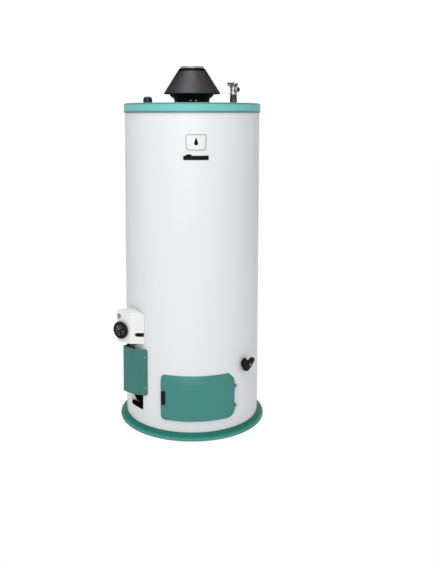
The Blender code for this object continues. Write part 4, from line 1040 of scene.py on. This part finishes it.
# the dial: a fluted skirt, a raised grip and plain tick marks
def dial():
    bm = bmesh.new()
    n = 144
    levels = [(0.0, 25.8, 0.0), (0.9, 26.8, 0.1), (2.6, 27.8, 0.4), (5.0, 28.6, 0.7), (7.4, 29.0, 0.75), (9.0, 28.8, 0.6),
              (10.4, 28.0, 0.35), (11.3, 26.6, 0.1), (11.8, 24.8, 0.0), (12.0, 22.6, 0.0)]
    rings = []
    for y, r_, dep in levels:
        rings.append([bm.verts.new(((r_ - dep * (0.5 + 0.5 * math.cos(36 * TAU * i_ / n))) * math.cos(TAU * i_ / n),
                                    (r_ - dep * (0.5 + 0.5 * math.cos(36 * TAU * i_ / n))) * math.sin(TAU * i_ / n), y))
                      for i_ in range(n)])
    for a_, b_ in zip(rings, rings[1:]):
        for i_ in range(n):
            bm.faces.new((a_[i_], a_[(i_ + 1) % n], b_[(i_ + 1) % n], b_[i_]))
    inn = [(22.0, 11.7), (21.2, 11.1), (19.8, 10.8), (10.0, 10.7)]
    last = rings[-1]
    for r_, y in inn:
        cur = [bm.verts.new((r_ * math.cos(TAU * i_ / n), r_ * math.sin(TAU * i_ / n), y)) for i_ in range(n)]
        for i_ in range(n):
            bm.faces.new((last[i_], last[(i_ + 1) % n], cur[(i_ + 1) % n], cur[i_]))
        last = cur
    bm.faces.new(last)
    # underside with the blind bore for the shaft
    prev = rings[0]
    for r_, y in ((5.0, 0.0), (5.0, 6.0)):
        cur = [bm.verts.new((r_ * math.cos(TAU * i_ / n), r_ * math.sin(TAU * i_ / n), y)) for i_ in range(n)]
        for i_ in range(n):
            bm.faces.new((prev[(i_ + 1) % n], prev[i_], cur[i_], cur[(i_ + 1) % n]))
        prev = cur
    bm.faces.new(list(reversed(prev)))
    return bm


DIAL_AT = face(UD, VF + 0.6, 340.0)
DN = polar(AF, 1.0)


def on_dial(bm):
    """From dial coordinates (z out of the face, y up) to the heater."""
    m = Matrix.Translation(DIAL_AT) @ Matrix.Rotation(math.radians(AF), 4, "Z") @ Matrix.Rotation(math.radians(90), 4, "X")
    return place(bm, m)


make(on_dial(dial()), "temperature_dial_knob", "black", body="temperature_dial",
     replaces="temperature_dial", angle=38)
POINT = 118.0
grip = prism(fillet([(-18.6, -3.2), (18.6, -4.0), (18.6, 4.0), (-18.6, 3.2)], [2.6, 3.6, 3.6, 2.6], 6), 1.9, "Z", 10.5)
tp = [v_ for v_ in grip.verts if v_.co.z > 12]
bmesh.ops.scale(grip, verts=tp, vec=(0.93, 0.72, 1.0))
place(grip, Matrix.Rotation(math.radians(POINT), 4, "Z"))
o = make(on_dial(grip), "temperature_dial_grip", "black", body="temperature_dial", angle=30)
soften(o, 0.5, 3)
marks = []
for i_ in range(11):
    a_ = math.radians(-150 + i_ * 30 + POINT)
    mk = prism([(-0.7, 12.4), (0.7, 12.4), (0.7, 18.4), (-0.7, 18.4)], 0.5, "Z", 10.55)
    place(mk, Matrix.Rotation(a_, 4, "Z"))
    marks.append(mk)
mk = prism(fillet([(2.0, -1.7), (17.4, -1.1), (17.4, 1.1), (2.0, 1.7)], 0.5, 2), 0.4, "Z", 12.15)
place(mk, Matrix.Rotation(math.radians(POINT), 4, "Z"))
marks.append(mk)
for a_, rr_ in ((POINT + 52, 8.4), (POINT - 52, 8.4), (POINT + 128, 8.4), (POINT - 128, 8.4)):
    mk = lathe([(0, 10.55), (1.5, 10.55), (1.5, 11.1), (0, 11.1)], 20)
    place(mk, Matrix.Translation((rr_ * math.cos(math.radians(a_)), rr_ * math.sin(math.radians(a_)), 0)))
    marks.append(mk)
make(on_dial(merge(*marks)), "temperature_dial_marks", "mark", body="temperature_dial", angle=30, flip_check=False)
collar_ = lathe(fillet([(7.1, 0.0), (12.5, 0.0), (12.5, 0.35), (7.1, 0.35)], 0.15, 2), 48)
make(along(collar_, DN, face(UD, VF, 340.0)), "dial_escutcheon", "steel", body="heater", angle=35)

btn = fillet([(0, -9.0), (5.6, -9.0), (5.6, 3.0), (4.6, 4.3), (3.2, 4.0), (0, 3.8)], [0, 0.4, 1.0, 0.8, 0.6, 0], 4)
BUT = face(UB, VF, ZBUT)
make(along(lathe(btn, 48), DN, BUT), "pilot_button_cap", "grey", body="pilot_button", replaces="pilot_button", angle=35)
bez = fillet([(6.3, -0.6), (8.2, -0.2), (8.2, 0.5), (7.6, 0.9), (6.3, 0.9)], 0.3, 3)
make(along(lathe(bez, 48), DN, BUT), "pilot_button_bezel", "grey", body="heater", angle=35)

# ================================================================== burner tube cover
line = fillet([(-31.6, -229.4), (-20.4, -265.6), (29.0, -252.6), (66.0, -222.4)], [0, 3.0, 2.4, 0], 6, closed=False)
chan = prism(sheet_line(line, 1.2), 155.0, "Z", 125.0)
# the lower corners of the two free edges are rounded off
n_r = (Vector((66.0, -222.4)) - Vector((29.0, -252.6))).normalized()


def corner_cut(p_, u_, z_, up, r_):
    """A prism that rounds off one corner of a wall that runs along u_."""
    pts_ = [(0.4, -0.4 * up), (0.4, r_ * up)] + [(-r_ + r_ * math.cos(math.radians(t_)), (r_ - r_ * math.sin(math.radians(t_))) * up)
                                                 for t_ in range(0, 91, 10)] + [(-r_, -0.4 * up)]
    bm = prism(pts_, 12.0, "Y", -6.0)
    m_ = Matrix(((u_[0], -u_[1], 0, p_[0]), (u_[1], u_[0], 0, p_[1]), (0, 0, 1, z_), (0, 0, 0, 1)))
    return place(bm, m_)


n_l = (Vector((-31.6, -229.4)) - Vector((-20.4, -265.6))).normalized()
chan = carve(chan, corner_cut((66.2, -222.3), n_r, 125.0, 1, 9.0), corner_cut((66.2, -222.3), n_r, 280.0, -1, 5.0),
             corner_cut((-31.7, -229.2), n_l, 125.0, 1, 7.0))
o = make(place(chan, MC), "burner_tube_channel", "cover_green", body="heater", replaces="burner_tube_cover", angle=25)
soften(o, 0.35, 2)
dscr = Vector((n_r.y, -n_r.x, 0))
for n_, zz in enumerate((150.0, 255.0)):
    q_ = Vector((66.0, -222.4, zz)) - Vector((n_r.x, n_r.y, 0)) * 7.0 + dscr * 0.05
    sc = along(hex_screw(1.7, 2.0), MC.to_3x3() @ dscr, MC @ q_)
    make(sc, "tube_cover_screw_%d" % (n_ + 1), "steel", body="heater", angle=30)


def gas_tube(name, node, x, r_, mat_, end):
    pts = [(x, -249.0, 305.3), (x, -247.0, 292.0), (x, -241.5, 270.0), (x, -240.5, 200.0), (x, -239.5, 140.0),
           (x, -236.0, 112.0), (x * 0.98, -222.0, 88.0), (x * 0.95, -196.0, 78.0)] + end
    b_ = pipe([MC @ q_ for q_ in smooth_path(pts, 8)], r_, 24)
    make(b_, name, mat_, body="heater", replaces=node, angle=40)


gas_tube("burner_tube_bent", "burner_tube", -16.0, 5.6, "alu",
         [(-13.0, -140.0, 70.0), (-7.0, -70.0, 58.0), (-1.5, -20.0, 44.0), (0.0, 0.0, 40.0)])
gas_tube("pilot_tube_bent", "pilot_tube", -4.0, 2.6, "alu", [(-4.0, -150.0, 80.0), (-4.0, -118.0, 80.0)])
gas_tube("thermocouple_lead_bent", "thermocouple_lead", 5.0, 2.2, "copper", [(6.0, -150.0, 80.0), (7.0, -118.0, 80.0)])
for n_, (x_, af) in enumerate(((-16.0, 15.0), (-4.0, 8.0), (5.0, 7.0))):
    nut = hexhead(af, 8.0, 40, 0.8)
    place(nut, MC @ Matrix.Translation((x_, -247.8, 297.2)))
    make(nut, "tube_nut_%d" % (n_ + 1), "tarnish", body="heater", angle=30)

# ================================================================== inner door and its window
def wrap_round(points, radii, r_in, n=5):
    """Fillet an outline given in (degrees, z) with radii in millimetres."""
    kk = k_ * r_in
    return [(x_ / kk, z_) for x_, z_ in fillet([(a_ * kk, z_) for a_, z_ in points], radii, n)]


rd = 203.9
idoor = curved(wrap_round([(-20, 55), (30, 55), (30, 198), (-20, 198)], 8.0, rd), rd, 1.4)
idoor = carve(idoor, rod(polar(5, 190, 150), polar(5, 220, 150), 14.0, 48))
make(idoor, "inner_door_panel", "galv", body="heater", replaces="inner_door", angle=30)
bead_out = wrap_round([(-17.5, 62), (27.5, 62), (27.5, 191), (-17.5, 191)], 7.0, rd)
bead = []
pts = [polar(a_, rd + 1.5, z_) for a_, z_ in bead_out]
dense = []
for p_, q_ in zip(pts, pts[1:] + pts[:1]):
    n2 = max(1, int((q_ - p_).length / 9))
    for i_ in range(n2):
        s_ = p_.lerp(q_, i_ / n2)
        rr_ = math.hypot(s_.x, s_.y)
        dense.append(Vector((s_.x * (rd + 1.5) / rr_, s_.y * (rd + 1.5) / rr_, s_.z)))
dense.append(dense[0])
make(pipe(dense, 1.0, 8), "inner_door_bead", "galv", body="heater", angle=60)
for n_, (a_, z_) in enumerate(((-14.5, 180), (24.5, 180), (-14.5, 73), (24.5, 73))):
    sc = along(hex_screw(2.2, 2.4), polar(a_, 1), polar(a_, rd + 1.4, z_))
    make(sc, "inner_door_screw_%d" % (n_ + 1), "steel", body="heater", angle=30)
make(along(lathe(fillet([(0, 199.0), (13.4, 199.0), (13.4, 206.6), (0, 206.6)], [0, 0.6, 0.8, 0], 4), 56), polar(5, 1), (0, 0, 150)),
     "sight_glass_disc", "glass", body="heater", replaces="sight_glass", angle=30)
make(along(lathe(fillet([(12.4, 205.4), (18.6, 205.4), (18.6, 206.6), (17.6, 207.0), (14.0, 207.0), (12.4, 206.7)],
                        [0, 0.2, 0.4, 0.4, 0.4, 0.2], 3), 56), polar(5, 1), (0, 0, 150)),
     "sight_glass_frame", "steel", body="heater", angle=30)


# ================================================================== access door
def door():
    kk = k_ * R
    a0, a1, z0, z1 = -26.0 * kk, 36.5 * kk, 60.0, 210.0
    outline = fillet([(a0, z0), (a1, z0), (a1, z1 - 20.0), (a1 - 22.0, z1), (a0, z1)], [14.0, 27.0, 9.0, 10.0, 14.0], 8)
    dense_ = []
    for p_, q_ in zip(outline, outline[1:] + outline[:1]):
        p2, q2 = Vector(p_), Vector(q_)
        n3 = max(1, int((q2 - p2).length / 9.0))
        dense_ += [tuple(p2.lerp(q2, i_ / n3)) for i_ in range(n3)]
    outline = dense_

    def inset(side, top, bottom=None):
        bottom = side if bottom is None else bottom
        cx0, cx1, cz0, cz1 = a0 + side, a1 - side, z0 + bottom, z1 - top
        return [(cx0 + (x_ - a0) / (a1 - a0) * (cx1 - cx0), cz0 + (z_ - z0) / (z1 - z0) * (cz1 - cz0)) for x_, z_ in outline]

    outer = [(0.0, 0.0, 0.9), (0.0, 0.3, 1.3), (0.15, 4.0, 3.0), (0.5, 9.0, 4.6), (1.1, 14.5, 6.0), (2.0, 20.0, 7.2),
             (3.2, 25.0, 8.05), (4.6, 28.0, 8.45), (6.2, 30.6, 8.6), (8.0, 33.0, 8.6), (14.0, 39.0, 8.6)]
    inner_ = [(1.2, 2.4, 0.9), (1.4, 6.0, 2.2), (2.4, 16.0, 5.2), (4.6, 26.0, 6.8), (8.4, 33.0, 7.3), (13.0, 38.0, 7.3)]
    bm = bmesh.new()
    lo_ = [[bm.verts.new((x_, d_, z_)) for x_, z_ in inset(s_, t_)] for s_, t_, d_ in outer]
    li_ = [[bm.verts.new((x_, d_, z_)) for x_, z_ in inset(s_, t_)] for s_, t_, d_ in inner_]
    n4 = len(outline)

    def band(p_, q_):
        for j_ in range(n4):
            bm.faces.new((p_[j_], p_[(j_ + 1) % n4], q_[(j_ + 1) % n4], q_[j_]))

    for p_, q_ in zip(lo_, lo_[1:]):
        band(p_, q_)
    bm.faces.new(lo_[-1])
    for p_, q_ in zip(li_, li_[1:]):
        band(q_, p_)
    bm.faces.new(list(reversed(li_[-1])))
    band(li_[0], lo_[0])
    x_ = a0 + 4.0
    while x_ < a1:
        bmesh.ops.bisect_plane(bm, geom=bm.verts[:] + bm.edges[:] + bm.faces[:], plane_co=(x_, 0, 0), plane_no=(1, 0, 0))
        x_ += 8.03
    for z_ in (95.0, 120.0, 145.0):
        bmesh.ops.bisect_plane(bm, geom=bm.verts[:] + bm.edges[:] + bm.faces[:], plane_co=(0, 0, z_), plane_no=(0, 0, 1))
    for v_ in bm.verts:
        v_.co = polar(v_.co.x / kk, R + v_.co.y, v_.co.z)
    return bm


make(door(), "access_door_panel", "door", body="access_door", replaces="access_door", angle=40)

# the latch plate with its finger ribs
lc = -26.0 + 2.8
kk = k_ * R
lat = curved([(a_ / kk, z_) for a_, z_ in fillet([(lc * kk - 5.6, 112.0), (lc * kk + 6.4, 112.0), (lc * kk + 6.4, 157.0), (lc * kk - 5.6, 157.0)], 3.2, 6)],
             R, 1.0, 0.8)
for v_ in lat.verts:
    rr_ = math.hypot(v_.co.x, v_.co.y)
    s_ = (238.95 + (4.4 if rr_ > R + 0.5 else 0.0)) / rr_
    v_.co.x *= s_
    v_.co.y *= s_
o = make(lat, "door_latch_slide", "black", body="door_latch", replaces="door_latch", angle=30)
soften(o, 1.1, 3)
ribs = []
for i_ in range(5):
    rb_ = prism(fillet([(-4.0, -0.5), (4.0, -0.5), (4.0, 0.5), (-4.0, 0.5)], 0.4, 3), 1.2, "Y", -1.1)
    place(rb_, Matrix.Translation(polar(lc + 0.1, 243.3, 126.0 + i_ * 4.2)) @ Matrix.Rotation(math.radians(lc + 0.1), 4, "Z"))
    ribs.append(rb_)
make(merge(*ribs), "door_latch_ribs", "black", body="door_latch", angle=30, flip_check=False)

# ================================================================== drain cock
dn = polar(48, 1.0)
prof = fillet([(0, 190), (10.2, 190), (10.2, 231.0), (14.5, 231.0), (15.5, 232.2), (15.5, 234.6), (12.4, 236.6), (12.0, 237.4),
               (12.0, 246.8), (11.0, 248.0), (0, 248.0)], [0, 0.5, 0.4, 0.5, 0.5, 0.8, 1.0, 0.5, 1.0, 0.6, 0], 4)
b = along(lathe(prof, 64), dn, (0, 0, 230))
sp = polar(48, 239.6, 230)
spt = [(0, 2.0), (7.6, 2.0), (7.6, 14.2), (8.4, 15.0)]
z_ = 15.2
while z_ < 22.6:
    spt += [(8.4, z_), (8.4, z_ + 0.7), (7.7, z_ + 1.3), (7.7, z_ + 1.9)]
    z_ += 2.4
spt += [(8.4, 23.4), (7.8, 24.0), (0, 24.0)]
s_ = along(lathe(spt, 56), (0, 0, -1), sp)
b = carve(b, s_, op="UNION")
b = carve(b, rod(sp + Vector((0, 0, -5)), sp + Vector((0, 0, -40)), 4.6, 32))
make(b, "drain_cock_body", "black", body="heater", replaces="drain_valve_body", angle=40)

ell = []
for j_ in range(72):
    t_ = TAU * j_ / 72
    ell.append((27.0 * math.copysign(abs(math.cos(t_)) ** 0.92, math.cos(t_)), 10.2 * math.copysign(abs(math.sin(t_)) ** 0.92, math.sin(t_))))
wing = prism(ell, -12.0, "Y", 0.0)
fe = [e_ for e_ in wing.edges if all(abs(v_.co.y + 12.0) < 1e-6 for v_ in e_.verts)]
bmesh.ops.bevel(wing, geom=fe, offset=3.4, segments=6, profile=0.5, affect="EDGES")
be = [e_ for e_ in wing.edges if all(abs(v_.co.y) < 1e-6 for v_ in e_.verts)]
bmesh.ops.bevel(wing, geom=be, offset=1.0, segments=3, profile=0.5, affect="EDGES")
dish = along(lathe([(0, 0.0), (5.6, 0.0), (6.6, 3.0), (0, 3.0)], 40), (0, -1, 0), (0, -10.9, 0))
wing = carve(wing, dish)
TW = Matrix.Translation(polar(48, 248.5, 230)) @ Matrix.Rotation(math.radians(48), 4, "Z") @ Matrix.Rotation(math.radians(-(90.0 - 52.0)), 4, "Y")
make(place(wing, TW), "drain_handle_wing", "black", body="drain_handle", replaces="drain_valve_handle", angle=35)
sc = along(screw_head(4.4, 1.6, 0.9), (0, -1, 0), (0, -10.6, 0))
make(place(sc, TW), "drain_handle_screw", "steel", body="drain_handle", angle=30)
gr = []
for sgn in (1, -1):
    for i_ in range(3):
        rb_ = prism(fillet([(-0.7, -5.2 + i_ * 0.5), (0.7, -5.2 + i_ * 0.5), (0.7, 5.2 - i_ * 0.5), (-0.7, 5.2 - i_ * 0.5)], 0.5, 3), 0.7, "Y", -12.6)
        place(rb_, TW @ Matrix.Translation((sgn * (13.0 + 3.4 * i_), 0, 0)))
        gr.append(rb_)
make(merge(*gr), "drain_handle_ribs", "black", body="drain_handle", angle=30, flip_check=False)


# ================================================================== front plates
def wrapped_plate(name, mat_, node, corners, rad, r0_, t_, az_c, step=1.0, soft=0.3):
    kk_ = k_ * R
    pts_ = fillet([(x_ + az_c * kk_, z_) for x_, z_ in corners], rad, 6)
    bm = curved([(x_ / kk_, z_) for x_, z_ in pts_], R, 1.0, step)
    for v_ in bm.verts:
        rr2 = math.hypot(v_.co.x, v_.co.y)
        s2 = (r0_ + (t_ if rr2 > R + 0.5 else 0.0)) / rr2
        v_.co.x *= s2
        v_.co.y *= s2
    o_ = make(bm, name, mat_, body="heater", replaces=node or (), angle=30)
    if soft:
        soften(o_, soft, 2)
    return o_


wrapped_plate("badge_border", "badge_line", "badge_plate", [(-30.0, 939.5), (30.0, 939.5), (33.8, 989.3), (-33.8, 989.3)],
              7.0, R + 0.3, 0.9, 3.1)
wrapped_plate("badge_face", "badge", None, [(-27.6, 942.0), (27.6, 942.0), (31.2, 986.8), (-31.2, 986.8)], 5.0, R + 0.9, 0.6, 3.1)
# a plain drop in the middle of the badge
drop = [(6.4 * math.sin(t_), 961.4 - 6.4 * math.cos(t_)) for t_ in [math.radians(-118 + 236 * i_ / 24) for i_ in range(25)]]
drop += [(3.1, 972.0), (0.6, 979.6), (-0.6, 979.6), (-3.1, 972.0)]
wrapped_plate("badge_drop", "label", None, drop, 0.0, R + 1.5, 0.3, 3.1, 1.0, 0.0)
wrapped_plate("label_strip", "label", "label_bar",
              [(-40.0, 909.0), (40.0, 909.0), (40.0, 922.4), (-13.0, 922.4), (-17.0, 927.0), (-29.0, 927.0), (-34.0, 922.4), (-40.0, 922.0)],
              [1.6, 1.6, 1.6, 3.0, 3.2, 3.2, 3.0, 1.2], R + 0.3, 1.0, 3.1)

# ================================================================== carried-over solids
KEEP = {
    "insulation": "foam", "tank_shell": "lining", "tank_top_head": "lining", "tank_bottom_head": "lining",
    "combustion_chamber": "iron", "flue_tube": "galv", "flue_baffle": "galv", "dip_tube": "plastic",
    "thermostat_probe": "copper", "dial_shaft": "steel", "pilot_burner": "steel", "burner_head": "iron",
    "jacket_knuckle_1": "jacket", "jacket_knuckle_2": "jacket", "door_knuckle_1": "door", "door_knuckle_2": "door",
    "hinge_pin_1": "steel", "hinge_pin_2": "steel"}
for node_, mk_ in KEEP.items():
    ob_ = NODES[node_]
    ob_.data.materials.clear()
    ob_.data.materials.append(M[mk_])

# ================================================================== stage and light
fl = Mat("studio_floor", (0.90, 0.90, 0.90), 0.8, spec=0.1)
fl.vary(0.8, 0.004)
fl.bump(fl.noise(30.0, 3.0), 0.02, 0.001)
floor_mat = fl.done()
# the paper sweep reads as plain white to the camera and as matt paper to the light
em = fl.n.new("ShaderNodeEmission")
em.inputs["Color"].default_value = (1, 1, 1, 1)
em.inputs["Strength"].default_value = 1.0
ray = fl.n.new("ShaderNodeLightPath")
blend = fl.n.new("ShaderNodeMixShader")
fl.link(ray.outputs["Is Camera Ray"], blend.inputs[0])
fl.link(fl.b.outputs[0], blend.inputs[1])
fl.link(em.outputs[0], blend.inputs[2])
fl.link(blend.outputs[0], fl.n["Material Output"].inputs["Surface"])
fm = bpy.data.meshes.new("floor")
fb = bmesh.new()
bmesh.ops.create_grid(fb, x_segments=8, y_segments=8, size=14.0)
fb.to_mesh(fm)
fb.free()
floor = bpy.data.objects.new("floor", fm)
bpy.context.scene.collection.objects.link(floor)
floor.location = (0, 0, -0.0004)
fm.materials.append(floor_mat)

world = bpy.data.worlds.new("studio")
bpy.context.scene.world = world
world.use_nodes = True
wt = world.node_tree
bg = wt.nodes["Background"]
bg.inputs["Color"].default_value = (1.0, 1.0, 1.0, 1)
# the room is brighter in front of and behind the heater than at its sides
wco = wt.nodes.new("ShaderNodeTexCoord")
wxyz = wt.nodes.new("ShaderNodeSeparateXYZ")
wt.links.new(wco.outputs["Generated"], wxyz.inputs[0])
wsq = wt.nodes.new("ShaderNodeMath")
wsq.operation = "MULTIPLY"
wt.links.new(wxyz.outputs["Y"], wsq.inputs[0])
wt.links.new(wxyz.outputs["Y"], wsq.inputs[1])
wst = wt.nodes.new("ShaderNodeMath")
wst.operation = "MULTIPLY_ADD"
wt.links.new(wsq.outputs[0], wst.inputs[0])
wst.inputs[1].default_value = 0.22
wst.inputs[2].default_value = 0.50
wt.links.new(wst.outputs[0], bg.inputs["Strength"])
bg2 = wt.nodes.new("ShaderNodeBackground")
bg2.inputs["Color"].default_value = (1.0, 1.0, 1.0, 1)
bg2.inputs["Strength"].default_value = 1.02
lp = wt.nodes.new("ShaderNodeLightPath")
mxs = wt.nodes.new("ShaderNodeMixShader")
wt.links.new(lp.outputs["Is Camera Ray"], mxs.inputs[0])
wt.links.new(bg.outputs[0], mxs.inputs[1])
wt.links.new(bg2.outputs[0], mxs.inputs[2])
wt.links.new(mxs.outputs[0], wt.nodes["World Output"].inputs["Surface"])


def area(name, loc, target, size, power, size_y=None):
    d_ = bpy.data.lights.new(name, "AREA")
    d_.energy = power
    d_.size = size
    if size_y:
        d_.shape = "RECTANGLE"
        d_.size_y = size_y
    o_ = bpy.data.objects.new(name, d_)
    bpy.context.scene.collection.objects.link(o_)
    o_.location = loc
    v_ = Vector(target) - Vector(loc)
    o_.rotation_mode = "QUATERNION"
    o_.rotation_quaternion = v_.to_track_quat("-Z", "Y")
    return o_


area("key_front", (-0.35, -3.6, 1.7), (0, 0, 0.6), 2.6, 36.0, 2.2)
area("top_soft", (-0.5, -1.6, 3.3), (0, 0, 0.6), 2.4, 36.0, 2.0)
area("back_soft", (0.6, 3.4, 2.2), (0, 0, 0.6), 2.2, 16.0, 2.0)

sc_ = bpy.context.scene
sc_.view_settings.view_transform = "Standard"
sc_.view_settings.look = "None"
sc_.view_settings.exposure = 0.0
sc_.view_settings.gamma = 1.0
